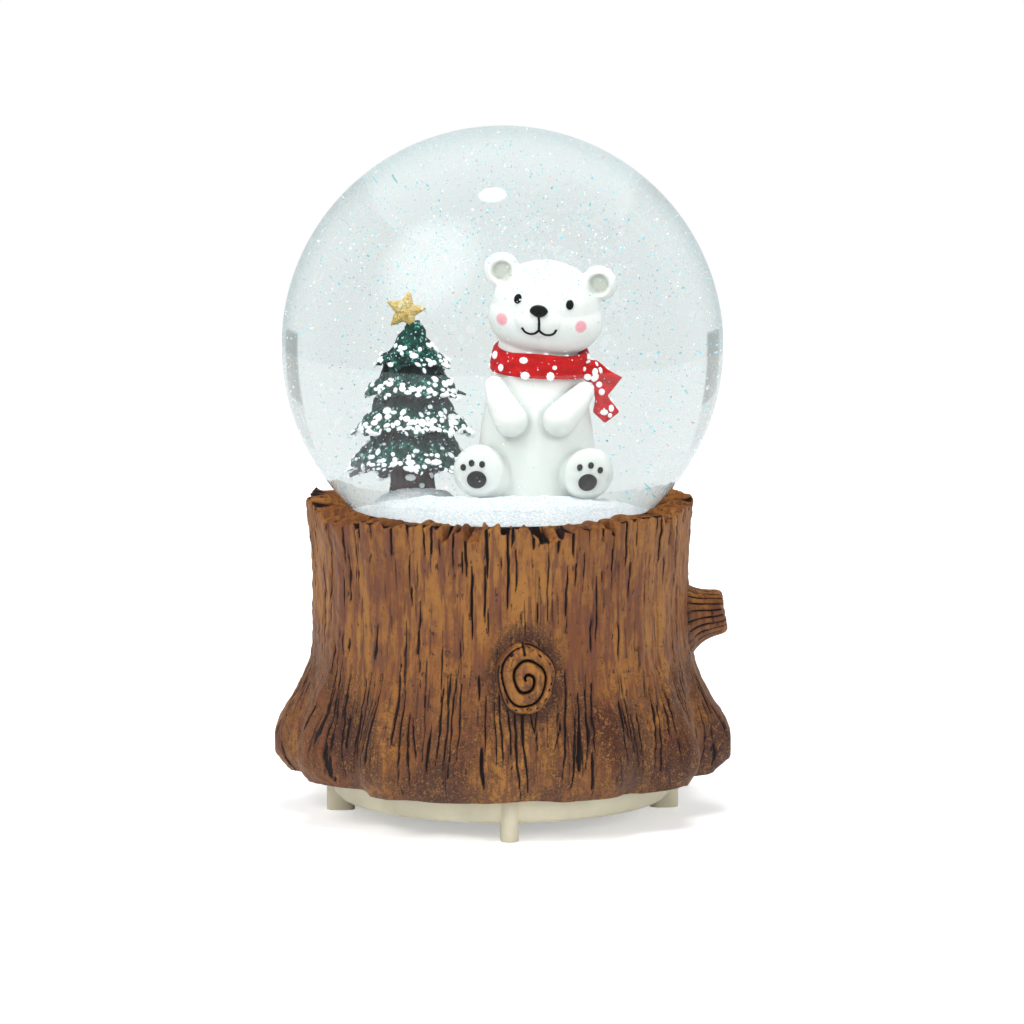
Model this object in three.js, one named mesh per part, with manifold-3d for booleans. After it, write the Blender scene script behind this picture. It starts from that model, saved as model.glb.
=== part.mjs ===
// Musical snow globe: a glass ball full of liquid, with a bear and a fir tree inside, on a
// cast resin tree stump that hides a wind-up 18-note movement.
// Millimetres, +Z up, the front faces -Y. The origin is on the table, under the ball's centre.
import * as THREE from "three";
import { mergeVertices } from "three/addons/utils/BufferGeometryUtils.js";
import Module from "manifold-3d";

const wasm = await Module();
wasm.setup();

// ---- Driving dimensions -------------------------------------------------------------------
const GAP = 0.3; // clearance between neighbouring pieces
const DEG = Math.PI / 180;

const ball = { radius: 50, wall: 2.5, centreZ: 106 };
const neck = { outer: 30, wall: 2.4, bottomZ: 58.5 };
const stump = { bottomZ: 9.5, seatRadius: 34.3, seatZ: 68.4, cavity: 38 };
const collar = { outer: 33, bottomZ: 57.5, topZ: 64.5 };
const snow = { topZ: 80.3, flatRadius: 17, moundRadius: 26.8, moundEdgeZ: 76, rimZ: 72.9 };
const plate = { bottomZ: 3.9, floor: 2.4, radius: 38.5, wall: 2.2, turn: 2.4 * DEG };
const foot = { inner: 33.6, outer: 40.2, width: 4 };
const well = { radius: 17.2, wall: 2, roofZ: 15.9 };
const baseScrew = { circle: 33.5, head: 3, shank: 1.4, headZ: 4.6, topZ: 22 };
const baseScrewAngles = [60, 120, 240, 300];

// The movement: a vertical winding arbor, and a cylinder and a second shaft along X.
const arbor = { radius: 1.5, bottomZ: 8, topZ: 31.5 };
const bed = { bottomZ: 18.2, thickness: 2.2 };
const bedTopZ = bed.bottomZ + bed.thickness;
const cage = { radius: 11.5, wall: 1, height: 7 };
const crown = { teeth: 36, radius: 10.6, faceWidth: 2, webZ: 28.4, web: 0.9 };
const pinion = { teeth: 12, width: 2.2 };
const drum = { radius: 5, pin: 0.6, x0: 13.9, x1: 30.4, notes: 18 };
const drumWheel = { teeth: 30, x0: 30.9, x1: 32.1 };
const secondPinion = { teeth: 8 };
const spurModule = 0.55;
const wormWheel = { teeth: 16, x: 24, width: 1 };
const wormModule = 0.5;
const worm = { radius: 1.6, core: 1.1, helix: 1.34, thread: 0.3, turns: 4.5, spindle: 0.7, topZ: 45.6 };
const fly = { span: 10, height: 4, thickness: 0.8, z: 41 };
const comb = { depth: 13, base: 6, thickness: 1, block: { y0: 12.6, y1: 18.6 } };

// Derived places of the gear train.
const crownModule = (2 * crown.radius) / crown.teeth;
const addendum = 0.8; // tooth height above and below the pitch line, in modules
const dedendum = 1.2;
const crownPitchZ = crown.webZ + crown.web + dedendum * crownModule;
const pinionRadius = (crownModule * pinion.teeth) / 2;
const shaftZ = crownPitchZ + pinionRadius;
const drumWheelRadius = (spurModule * drumWheel.teeth) / 2;
const secondPinionRadius = (spurModule * secondPinion.teeth) / 2;
const secondShaftY = -(drumWheelRadius + secondPinionRadius);
const wormWheelRadius = (wormModule * wormWheel.teeth) / 2;
const wormY = secondShaftY - wormWheelRadius - worm.radius;
const wormPitch = Math.PI * wormModule;

// ---- Materials ----------------------------------------------------------------------------
const paint = (color, roughness, metalness = 0, opacity = 1) =>
  new THREE.MeshStandardMaterial({
    color,
    roughness,
    metalness,
    opacity,
    transparent: opacity < 1,
  });
const finish = {
  glass: paint(0xe8f4f4, 0.02, 0, 0.35),
  liquid: paint(0xe2f2f2, 0.05, 0, 0.2),
  rubber: paint(0x2b2a29, 0.8),
  snow: paint(0xfafcfd, 0.9),
  bear: paint(0xf4f6f2, 0.45),
  scarf: paint(0xb01c1e, 0.6),
  fir: paint(0x0f4a3a, 0.6),
  trunk: paint(0x4a2620, 0.7),
  star: paint(0xd8b24a, 0.5, 0.3),
  bark: paint(0x7d5636, 0.65),
  cream: paint(0xd3ceb8, 0.5),
  plaster: paint(0xd9d4c8, 0.9),
  steel: paint(0x9a9da0, 0.35, 1),
  zinc: paint(0x8e9092, 0.5, 1),
  brass: paint(0xb8954a, 0.35, 1),
  nylon: paint(0xe9e6dc, 0.5),
};

// ---- Shape tools --------------------------------------------------------------------------
function signedVolume(geometry) {
  const points = geometry.getAttribute("position");
  const index = geometry.index;
  const corners = [new THREE.Vector3(), new THREE.Vector3(), new THREE.Vector3()];
  let total = 0;
  for (let i = 0; i < index.count; i += 3) {
    corners.forEach((corner, k) => corner.fromBufferAttribute(points, index.getX(i + k)));
    total += corners[0].dot(corners[1].cross(corners[2]));
  }
  return total / 6;
}

// One closed, outward-facing solid for joining and cutting.
function solid(geometry) {
  const bare = geometry.clone();
  Object.keys(bare.attributes).forEach((name) => {
    if (name !== "position") bare.deleteAttribute(name);
  });
  const merged = mergeVertices(bare, 1e-4);
  const triVerts = new Uint32Array(merged.index.array);
  if (signedVolume(merged) < 0) triVerts.reverse();
  const vertProperties = new Float32Array(merged.getAttribute("position").array);
  return new wasm.Manifold(new wasm.Mesh({ numProp: 3, vertProperties, triVerts }));
}

function geometryOf(manifold) {
  const mesh = manifold.getMesh();
  const geometry = new THREE.BufferGeometry();
  geometry.setAttribute("position", new THREE.BufferAttribute(mesh.vertProperties, 3));
  geometry.setIndex(new THREE.BufferAttribute(mesh.triVerts, 1));
  geometry.computeVertexNormals();
  return geometry;
}

const join = (first, ...rest) =>
  geometryOf(rest.reduce((all, next) => all.add(solid(next)), solid(first)));
const cut = (body, ...tools) =>
  geometryOf(tools.reduce((left, tool) => left.subtract(solid(tool)), solid(body)));

const point2 = ([x, y]) => new THREE.Vector2(x, y);

// A profile of [radius, z] points turned about Z. It starts and ends on the axis, or closes.
function turned(profile, segments = 32) {
  const lathe = new THREE.LatheGeometry(profile.map(point2), segments);
  return geometryOf(solid(lathe.rotateX(Math.PI / 2)));
}

function ring(inner, outer, z0, z1, segments = 32) {
  const profile = [[inner, z0], [outer, z0], [outer, z1], [inner, z1], [inner, z0]];
  return turned(profile, segments);
}

function rod(radius, z0, z1, segments = 16) {
  return turned([[0, z0], [radius, z0], [radius, z1], [0, z1]], segments);
}

function block(x0, x1, y0, y1, z0, z1) {
  const size = new THREE.BoxGeometry(x1 - x0, y1 - y0, z1 - z0);
  return size.translate((x0 + x1) / 2, (y0 + y1) / 2, (z0 + z1) / 2);
}

function extruded(points, z0, z1, holes = []) {
  const shape = new THREE.Shape(points.map(point2));
  shape.holes = holes.map((hole) => new THREE.Path(hole.map(point2)));
  const depth = z1 - z0;
  return new THREE.ExtrudeGeometry(shape, { depth, bevelEnabled: false }).translate(0, 0, z0);
}

function ellipsoid([rx, ry, rz], [x, y, z], [ax, ay, az] = [0, 0, 0], detail = 14) {
  return new THREE.SphereGeometry(1, detail, Math.round(detail * 0.65))
    .rotateX(Math.PI / 2)
    .scale(rx, ry, rz)
    .rotateX(ax * DEG)
    .rotateY(ay * DEG)
    .rotateZ(az * DEG)
    .translate(x, y, z);
}

// A stadium outline along a direction, for feet and slots.
function stadium(inner, outer, width, angle, steps = 5) {
  const half = width / 2;
  const ends = [[outer - half, -90], [inner + half, 90]];
  return ends.flatMap(([centre, start]) =>
    Array.from({ length: steps + 1 }, (_, i) => {
      const turn = (start + (180 * i) / steps) * DEG;
      const x = centre + half * Math.cos(turn);
      const y = half * Math.sin(turn);
      return [
        x * Math.cos(angle) - y * Math.sin(angle),
        x * Math.sin(angle) + y * Math.cos(angle),
      ];
    }),
  );
}

// Lays a shape made along Z out along X, at a height and a depth.
const alongX = (geometry, y, z) => geometry.rotateY(Math.PI / 2).translate(0, y, z);

// ---- Tree stump ---------------------------------------------------------------------------
const barkProfile = [
  [45.0, 9.5], [46.0, 13], [46.0, 17], [45.6, 21], [44.8, 25], [43.9, 30],
  [43.1, 35], [42.5, 40], [42.1, 47], [42.1, 54], [42.5, 61], [43.2, 68], [43.2, 71.3],
  [41.8, 71.4],
];
// Root ridges: [azimuth from the front in degrees, how far they swell, half width in degrees].
const roots = [
  [-90, 6.0, 13], [-55, 3.4, 12], [-22, 1.7, 10], [22, 1.7, 10], [56, 3.4, 12], [90, 6.0, 13],
  [128, 3.6, 13], [163, 1.1, 12], [-160, 1.3, 12], [-126, 3.8, 13],
];
const flareTopZ = 42;

function rootSwell(azimuth, z) {
  const rise = THREE.MathUtils.smoothstep(flareTopZ - z, 0, flareTopZ - 15);
  const tuck = 1 - 0.2 * THREE.MathUtils.smoothstep(15 - z, 0, 5.5);
  return roots.reduce((sum, [centre, swell, half]) => {
    const away = ((azimuth - centre + 540) % 360) - 180;
    return sum + swell * rise ** 1.6 * tuck * Math.exp(-((away / half) ** 2));
  }, 0);
}

// The rim is chipped: its outer edge rises and falls by a millimetre or so.
const chip = (azimuth) =>
  0.7 * Math.sin(5 * azimuth * DEG + 0.6) + 0.5 * Math.sin(13 * azimuth * DEG + 2);

function stumpShell() {
  const inside = [
    [stump.seatRadius, stump.seatZ], [collar.outer, stump.seatZ - 1], [collar.outer, 56.5],
    [stump.cavity, 52], [stump.cavity, stump.bottomZ], [45.0, stump.bottomZ],
  ];
  const shell = turned([...barkProfile, ...inside], 60);
  const points = shell.getAttribute("position");
  for (let i = 0; i < points.count; i += 1) {
    const [x, y, z] = [points.getX(i), points.getY(i), points.getZ(i)];
    const radius = Math.hypot(x, y);
    if (radius < stump.cavity + 0.5) continue;
    const azimuth = Math.atan2(x, -y) / DEG;
    const swollen = radius + rootSwell(azimuth, z);
    const lift = z > 71 ? chip(azimuth) : 0;
    points.setXYZ(i, (x / radius) * swollen, (y / radius) * swollen, z + lift);
  }
  return shell;
}

// The sawn-off branch on the right, leaning up by about 18 degrees.
function branchStub() {
  const profile = [[0, -4], [7.4, -4], [5.6, 1], [4.6, 5.5], [4.2, 8.6], [3.6, 9.2], [0, 9.2]];
  return turned(profile, 14).rotateY(72 * DEG).translate(40.6, 0, 43.6);
}

function frontKnot() {
  const profile = [[0, -3], [7.4, -3], [6.6, 0.8], [5.2, 1.6], [0, 1.4]];
  return turned(profile, 18)
    .scale(1, 1.25, 1)
    .rotateX(90 * DEG)
    .translate(5.6, -42.9, 38);
}

const onCircle = (radius, degrees) => [
  radius * Math.cos(degrees * DEG),
  radius * Math.sin(degrees * DEG),
];

function treeStump() {
  const bosses = baseScrewAngles.map((angle) =>
    rod(5.4, 12.6, 26, 14).translate(...onCircle(baseScrew.circle, angle), 0),
  );
  const pilots = baseScrewAngles.map((angle) =>
    rod(baseScrew.shank + GAP, 11, baseScrew.topZ + 1, 10).translate(
      ...onCircle(baseScrew.circle, angle),
      0,
    ),
  );
  return cut(join(stumpShell(), branchStub(), frontKnot(), ...bosses), ...pilots);
}

// ---- Base plate and its screws ------------------------------------------------------------
const bedScrewPlaces = [[8.5, 22.8], [28, -13.5], [-23, 0]];
const bedScrew = { head: 2, shank: 1, bottomZ: 11, headHeight: 1.3 };

function basePlate() {
  const floorZ = plate.bottomZ + plate.floor;
  const topZ = stump.bottomZ - GAP;
  const wellOuter = well.radius + well.wall;
  const postTopZ = 12.3;
  const tray = turned(
    [
      [well.radius, plate.bottomZ], [plate.radius - 1, plate.bottomZ],
      [plate.radius, plate.bottomZ + 1], [plate.radius + 0.5, topZ],
      [plate.radius - plate.wall, topZ], [plate.radius - plate.wall, floorZ],
      [wellOuter, floorZ], [wellOuter, bed.bottomZ - GAP], [arbor.radius + 1.1, bed.bottomZ - GAP],
      [arbor.radius + 1.1, well.roofZ], [well.radius, well.roofZ], [well.radius, plate.bottomZ],
    ],
    40,
  );
  const feet = [0, 90, 180, 270].map((angle) =>
    extruded(stadium(foot.inner, foot.outer, foot.width, angle * DEG + plate.turn), 0, topZ),
  );
  const posts = baseScrewAngles.map((angle) =>
    rod(3.9, floorZ - 1, postTopZ, 14).translate(...onCircle(baseScrew.circle, angle), 0),
  );
  const bedPosts = bedScrewPlaces.map(([x, y]) =>
    rod(3, floorZ - 1, bed.bottomZ - GAP, 12).translate(x, y, 0),
  );
  const screwHoles = baseScrewAngles.map((angle) =>
    join(
      rod(baseScrew.head + GAP, 2, baseScrew.headZ + 2.3, 14),
      rod(baseScrew.shank + GAP, 6, 14, 10),
    ).translate(...onCircle(baseScrew.circle, angle), 0),
  );
  const bedHoles = bedScrewPlaces.map(([x, y]) =>
    rod(bedScrew.shank + GAP, bedScrew.bottomZ - 1, bed.bottomZ + 1, 10).translate(x, y, 0),
  );
  const soundSlots = [35, 145, 215, 325].map((angle) =>
    extruded(stadium(22, 30, 2.4, angle * DEG, 3), plate.bottomZ - 1, floorZ + 1),
  );
  return cut(join(tray, ...feet, ...posts, ...bedPosts), ...screwHoles, ...bedHoles, ...soundSlots);
}

// A pan-head screw with a cross recess, head down.
function crossScrew(head, headHeight, shank, length) {
  const body = turned(
    [[0, 0], [head * 0.8, 0], [head, headHeight * 0.45], [head, headHeight], [shank, headHeight],
      [shank, length], [0, length]],
    14,
  );
  const reach = head * 0.55;
  const slot = head * 0.14;
  const recess = [
    block(-reach, reach, -slot, slot, -1, headHeight * 0.5),
    block(-slot, slot, -reach, reach, -1, headHeight * 0.5),
  ];
  return cut(body, ...recess);
}

// ---- Glass ball and what is in it ---------------------------------------------------------
// Points along a circle about the ball's centre, between two radii measured from the axis.
function ballArc(radius, startR, endR, steps, goingDown) {
  const from = Math.asin(startR / radius);
  const to = Math.asin(endR / radius);
  const start = goingDown ? from : Math.PI - from;
  const end = goingDown ? Math.PI - to : to;
  return Array.from({ length: steps + 1 }, (_, i) => {
    const turn = start + ((end - start) * i) / steps;
    return [radius * Math.sin(turn), ball.centreZ + radius * Math.cos(turn)];
  });
}

function glassBall() {
  const innerRadius = ball.radius - ball.wall;
  const neckInner = neck.outer - neck.wall;
  const outside = ballArc(ball.radius, 0, neck.outer, 14, true);
  const inside = ballArc(innerRadius, neckInner, 0, 12, false);
  return turned(
    [...outside, [neck.outer, neck.bottomZ], [neckInner, neck.bottomZ], ...inside],
    36,
  );
}

function rubberStopper() {
  const body = neck.outer - neck.wall - GAP;
  const topZ = 64.5;
  const hollow = 20;
  const flangeTop = neck.bottomZ - GAP;
  return turned([
    [0, 60], [hollow, 60], [hollow, 55.8], [neck.outer, 55.8], [neck.outer, flangeTop],
    [body, flangeTop], [body, topZ - 0.8], [body - 0.8, topZ], [0, topZ],
  ]);
}

const bondingCollar = () =>
  ring(neck.outer + GAP, collar.outer - GAP, collar.bottomZ, collar.topZ);

const insideRadius = ball.radius - ball.wall - 2 * GAP;
// Height of the ball's inner wall below its centre, at a distance from the axis.
const wallZ = (radius) => ball.centreZ - Math.sqrt(insideRadius ** 2 - radius ** 2);
const rimRadius = Math.sqrt(insideRadius ** 2 - (ball.centreZ - snow.rimZ) ** 2);

const snowSlope = [
  [snow.moundRadius, snow.moundEdgeZ], [snow.moundRadius - 4, 78.6], [snow.flatRadius, snow.topZ],
];

function snowMound() {
  const bottomZ = 64.8;
  return turned([[0, bottomZ], [snow.moundRadius, bottomZ], ...snowSlope, [0, snow.topZ]]);
}

// The flakes that have sunk and lie between the mound and the glass.
function looseSnow() {
  const inner = snow.moundRadius + GAP;
  const radii = [0, 0.33, 0.66, 1].map((share) => inner + share * (rimRadius - inner));
  const underside = radii.map((radius) => [radius, wallZ(radius)]);
  return turned([...underside, [inner, snow.moundEdgeZ - 0.2], underside[0]]);
}

// ---- Bear ---------------------------------------------------------------------------------
const standZ = snow.topZ + GAP;
const bear = { x: 5.8, y: -1.5 };
const head = { centre: [7.5, -2, 112.9], radii: [9.9, 8.8, 8.5], lean: 8 };

// The bear in one casting. It can be swelled all round, to cut its scarf clear of it.
function bearFigure(swell = 0) {
  const rounded = (radii, ...place) => ellipsoid(radii.map((r) => r + swell), ...place);
  const torso = turned([
    [0, standZ - 2], [9.6 + swell, standZ - 2], [9.9 + swell, 86], [9.2 + swell, 92],
    [7.9 + swell, 97], [6.2 + swell, 101], [5.8 + swell, 107], [0, 107],
  ], 20).scale(1, 0.9, 1).translate(bear.x, bear.y, 0);
  const skull = rounded(head.radii, head.centre, [0, head.lean, 0], 16);
  const ears = [[-0.1, 119.8, -20], [16.6, 117.5, 38]].map(([x, z, lean]) =>
    rounded([3, 1.7, 3.2], [x, -1.5, z], [0, lean, 0], 10),
  );
  const arms = [[0.4, 96.4, 24], [11.4, 95.6, -24]].map(([x, z, lean]) =>
    rounded([3.5, 3.1, 5.2], [x, bear.y - 6.6, z], [-16, lean, 0], 10),
  );
  const feet = [[-4, -9.6, 84.9], [15.4, -9.6, 84.2]].map(([x, y, z]) =>
    rounded([4.7, 4.6, 4.9], [x, y, z], [0, 0, 0], 12),
  );
  const legs = [[-1.4, -5.4, 84], [12.8, -5.4, 84]].map(([x, y, z]) =>
    rounded([4.4, 5, 4.4], [x, y, z], [0, 0, 0], 10),
  );
  const below = block(-20, 40, -30, 30, standZ - 12, standZ - swell);
  return cut(join(torso, skull, ...ears, ...arms, ...feet, ...legs), below);
}

const scarf = { centre: [6.5, -1.6, 103.1], outer: 8.3, height: 4.2, tilt: 4.5 };

function scarfWrap() {
  const { centre, outer, height, tilt } = scarf;
  const band = turned([
    [outer - 3.4, -height / 2], [outer - 0.7, -height / 2], [outer, -height / 4],
    [outer, height / 4], [outer - 0.7, height / 2], [outer - 3.4, height / 2],
    [outer - 3.4, -height / 2],
  ], 24);
  return cut(
    band.scale(1, 0.96, 1).rotateY(tilt * DEG).translate(...centre),
    bearFigure(GAP),
  );
}

// Both loose ends hang from the knot at the side: one stands out, the other hangs down.
function scarfTails() {
  const outline = [[15.4, 103.2], [17.6, 103.8], [21, 101.2], [18.4, 98], [17.4, 98.6],
    [20.6, 95.1], [17.9, 93.2], [15.6, 95.3], [16, 98.8]];
  return extruded(outline, -0.8, 0.8).rotateX(90 * DEG).translate(0, -4, 0);
}

// ---- Fir tree -----------------------------------------------------------------------------
const fir = { x: -14.6, y: 5, trunkTopZ: 86 };
// Each tier: [hem radius, hem height, shoulder radius, shoulder height].
const tiers = [
  [10.6, 85.2, 5, 92.4], [9.6, 91, 4.2, 98.6], [8, 97.4, 3.2, 103.8], [6.3, 102.4, 0.9, 108],
];

function firTree() {
  const [first, ...rest] = tiers.map(([hem, hemZ, shoulder, topZ]) =>
    turned([
      [0, hemZ + 1.4], [hem * 0.55, hemZ + 1], [hem, hemZ],
      [hem * 0.7, hemZ + (topZ - hemZ) * 0.42], [shoulder, topZ], [0, topZ + 0.5],
    ], 18).translate(fir.x, fir.y, 0),
  );
  const socket = rod(3.6 + GAP, fir.trunkTopZ - 8, fir.trunkTopZ + GAP, 12);
  return cut(join(first, ...rest), socket.translate(fir.x, fir.y, 0));
}

const treeTrunk = () =>
  turned([[0, standZ], [4, standZ], [3.6, 82.6], [3.4, fir.trunkTopZ], [0, fir.trunkTopZ]], 12)
    .translate(fir.x, fir.y, 0);

function treeStar() {
  const corners = Array.from({ length: 10 }, (_, i) => {
    const radius = i % 2 ? 1.6 : 3.5;
    return onCircle(radius, 85 + 36 * i);
  });
  return extruded(corners, -0.7, 0.7).rotateX(90 * DEG).translate(fir.x - 1, fir.y, 111.6);
}

// The liquid has plain hollows for the figures, a little larger than they are.
function liquidFill() {
  const lowest = snow.rimZ + GAP;
  const rim = Math.sqrt(insideRadius ** 2 - (ball.centreZ - lowest) ** 2);
  const bed = snowSlope.map(([radius, z]) => [radius, z + GAP]);
  const dome = turned(
    [...ballArc(insideRadius, 0, rim, 14, true), ...bed, [0, snow.topZ + GAP]],
    32,
  );
  const bearRoom = turned([
    [0, 74], [17.6, 74], [17.6, 90], [13.8, 94], [14.6, 110], [14.6, 120], [9, 125], [0, 125.4],
  ], 20).translate(6.2, -3, 0);
  const tailRoom = block(14.5, 21.8, -6, -2, 92, 105);
  const firRoom = turned([
    [0, 77], [11.2, 77], [11.2, 89], [7.6, 104], [5.4, 108], [5.4, 116], [0, 116],
  ], 18).translate(fir.x - 0.2, fir.y, 0);
  return cut(dome, bearRoom, tailRoom, firRoom);
}

// ---- Winding key, arbor and mainspring ----------------------------------------------------
function windingKey() {
  const outline = [];
  for (let i = 0; i <= 12; i += 1) {
    const turn = (-90 + 15 * i) * DEG;
    outline.push([7.2 + 4 * Math.cos(turn), 4 * Math.sin(turn)]);
  }
  const mirrored = outline.map(([x, z]) => [-x, -z]);
  const wings = extruded(
    [...outline, [3, 2.6], ...mirrored, [-3, -2.6]],
    -0.8,
    0.8,
  ).rotateX(90 * DEG).translate(0, 0, 8.5);
  const hub = rod(2.9, 6.6, 14, 16);
  return cut(join(wings, hub), rod(arbor.radius + GAP, arbor.bottomZ - GAP, 16, 12));
}

const windingArbor = () => rod(arbor.radius, arbor.bottomZ, arbor.topZ, 12);

function springCage() {
  const z0 = bedTopZ + GAP;
  return turned([
    [arbor.radius + 0.7, z0], [cage.radius, z0], [cage.radius, z0 + cage.height],
    [cage.radius - cage.wall, z0 + cage.height], [cage.radius - cage.wall, z0 + 0.8],
    [arbor.radius + 0.7, z0 + 0.8], [arbor.radius + 0.7, z0],
  ], 28);
}

const cageLid = () =>
  ring(arbor.radius + 0.7, cage.radius - cage.wall - GAP, 26.6, 27.4, 24);

function mainspring() {
  const turns = 6;
  const steps = 14 * turns;
  const strip = 0.2;
  const side = (offset) =>
    Array.from({ length: steps + 1 }, (_, i) => {
      const turn = (2 * Math.PI * turns * i) / steps;
      const radius = 2.7 + (7.2 * i) / steps + offset;
      return [radius * Math.cos(turn), radius * Math.sin(turn)];
    });
  return extruded([...side(strip), ...side(-strip).reverse()], 21.9, 26.2);
}

// ---- Gears --------------------------------------------------------------------------------
// A toothed outline with straight flanks, thinned for backlash.
function gearOutline(teeth, radius, size, phase = 0) {
  const pitch = (2 * Math.PI * radius) / teeth;
  const corners = [
    [radius - dedendum * size, -0.26], [radius + addendum * size, -0.08],
    [radius + addendum * size, 0.08], [radius - dedendum * size, 0.26],
  ];
  return Array.from({ length: teeth }, (_, i) => i).flatMap((i) =>
    corners.map(([r, share]) => {
      const turn = ((i + phase) / teeth) * 2 * Math.PI + (share * pitch) / radius;
      return [r * Math.cos(turn), r * Math.sin(turn)];
    }),
  );
}

const boreOutline = (radius, steps = 12) =>
  Array.from({ length: steps }, (_, i) => onCircle(radius, (-360 * i) / steps));

function greatWheel() {
  const { radius, faceWidth, webZ, web, teeth } = crown;
  const toothHeight = (addendum + dedendum) * crownModule;
  const outer = radius + faceWidth / 2;
  const disc = ring(arbor.radius + GAP, outer, webZ, webZ + web, 36);
  const pitch = (2 * Math.PI * radius) / teeth;
  const profile = [[-0.26 * pitch, -0.3], [0.26 * pitch, -0.3], [0.08 * pitch, toothHeight],
    [-0.08 * pitch, toothHeight]];
  const cogs = Array.from({ length: teeth }, (_, i) =>
    extruded(profile, 0, faceWidth)
      .rotateX(90 * DEG)
      .rotateZ(90 * DEG)
      .translate(radius - faceWidth / 2, 0, webZ + web)
      .rotateZ((2 * Math.PI * i) / teeth),
  );
  return join(disc, ...cogs);
}

const shaftRadius = 0.9;
const shaftBore = shaftRadius + GAP;

const pinionPhase = 0.5;
const cylinderPinion = () =>
  alongX(
    extruded(
      gearOutline(pinion.teeth, pinionRadius, crownModule, pinionPhase), 9.5,
      9.5 + pinion.width, [boreOutline(shaftBore)],
    ),
    0,
    shaftZ,
  );

const cylinderWheel = () =>
  alongX(
    extruded(
      gearOutline(drumWheel.teeth, drumWheelRadius, spurModule), drumWheel.x0, drumWheel.x1,
      [boreOutline(shaftBore)],
    ),
    0,
    shaftZ,
  );

const secondPhase = 0;
const governorPinion = () =>
  alongX(
    extruded(
      gearOutline(secondPinion.teeth, secondPinionRadius, spurModule, secondPhase),
      drumWheel.x0, drumWheel.x1, [boreOutline(0.6 + GAP, 8)],
    ),
    secondShaftY,
    shaftZ,
  );

const wormWheelPhase = 0.5;
const wormWheelDisc = () =>
  alongX(
    extruded(
      gearOutline(wormWheel.teeth, wormWheelRadius, wormModule, wormWheelPhase),
      wormWheel.x - wormWheel.width / 2, wormWheel.x + wormWheel.width / 2,
      [boreOutline(0.6 + GAP, 8)],
    ),
    secondShaftY,
    shaftZ,
  );

// ---- Cylinder, comb and shafts ------------------------------------------------------------
function musicCylinder() {
  const length = drum.x1 - drum.x0;
  const track = length / (drum.notes + 1);
  const tube = ring(shaftBore, drum.radius, drum.x0, drum.x1, 24);
  const pins = Array.from({ length: drum.notes }, (_, note) =>
    [0, 1].map((beat) => {
      const at = drum.x0 + track * (note + 1);
      const turn = 137.5 * (2 * note + beat);
      return block(drum.radius - 0.4, drum.radius + drum.pin, -0.2, 0.2, at - 0.2, at + 0.2)
        .rotateZ(turn * DEG);
    }),
  ).flat();
  return alongX(join(tube, ...pins), 0, shaftZ);
}

const cylinderShaft = () => alongX(rod(shaftRadius, 9, 34.2, 10), 0, shaftZ);
const governorShaft = () => alongX(rod(0.6, 20.2, 34.2, 8), secondShaftY, shaftZ);

function toneComb() {
  const { depth, base, thickness } = comb;
  const tipY = drum.radius + drum.pin + GAP;
  const backY = tipY + depth;
  const width = drum.x1 - drum.x0;
  const track = width / (drum.notes + 1);
  const slit = 0.22;
  const outline = [[drum.x0, backY], [drum.x0, tipY + depth - base]];
  for (let note = 0; note < drum.notes; note += 1) {
    const left = drum.x0 + track * (note + 0.5) + slit / 2;
    const right = drum.x0 + track * (note + 1.5) - slit / 2;
    const rootY = backY - base;
    outline.push([left, rootY], [left, tipY], [right, tipY], [right, rootY]);
  }
  outline.push([drum.x1, backY - base], [drum.x1, backY]);
  const holes = combScrewPlaces.map(([x, y]) =>
    boreOutline(1.3, 10).map(([hx, hy]) => [hx + x, hy + y]),
  );
  const z0 = shaftZ - thickness / 2;
  return extruded(outline, z0, z0 + thickness, holes);
}

const combScrewPlaces = [[18, 15.8], [26.3, 15.8]];

function bedplate() {
  const outline = [[-26, -5], [-12, -14], [4, -20.5], [27, -20.5], [31, -16.5], [34, -10],
    [34, 9], [30, 17.5], [27, 19.4], [13, 19.4], [11.6, 25.6], [5.4, 25.6], [3, 19.4], [-12, 14],
    [-26, 5]];
  const holes = [
    boreOutline(arbor.radius + 0.7),
    ...bedScrewPlaces.map(([x, y]) => boreOutline(1.3, 10).map(([hx, hy]) => [hx + x, hy + y])),
  ];
  const slab = extruded(outline, bed.bottomZ, bedTopZ, holes);
  const low = bedTopZ - 0.5;
  const top = shaftZ + 2.6;
  const combBlockTop = shaftZ - comb.thickness / 2 - GAP;
  const posts = [
    block(12.2, 13.3, -3, 3, low, top),
    block(32.6, 33.8, -12.6, 3, low, top),
    block(20.6, 21.6, -12.4, -8.4, low, top),
    block(drum.x0, drum.x1, comb.block.y0, comb.block.y1, low, combBlockTop),
  ];
  const bores = [
    alongX(rod(shaftBore, 11, 35, 10), 0, shaftZ),
    alongX(rod(0.6 + GAP, 20, 35, 8), secondShaftY, shaftZ),
    ...combScrewPlaces.map(([x, y]) => rod(1.3, 28, 36, 10).translate(x, y, 0)),
    rod(worm.spindle + GAP, bedTopZ - 1, bedTopZ + 1, 8).translate(wormWheel.x, wormY, 0),
  ];
  return cut(join(slab, ...posts), ...bores);
}

// ---- Governor -----------------------------------------------------------------------------
class Helix extends THREE.Curve {
  getPoint(share, target = new THREE.Vector3()) {
    const turn = 2 * Math.PI * worm.turns * share;
    const climb = wormPitch * worm.turns * (share - 0.5);
    return target.set(worm.helix * Math.cos(turn), worm.helix * Math.sin(turn), climb);
  }
}

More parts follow.
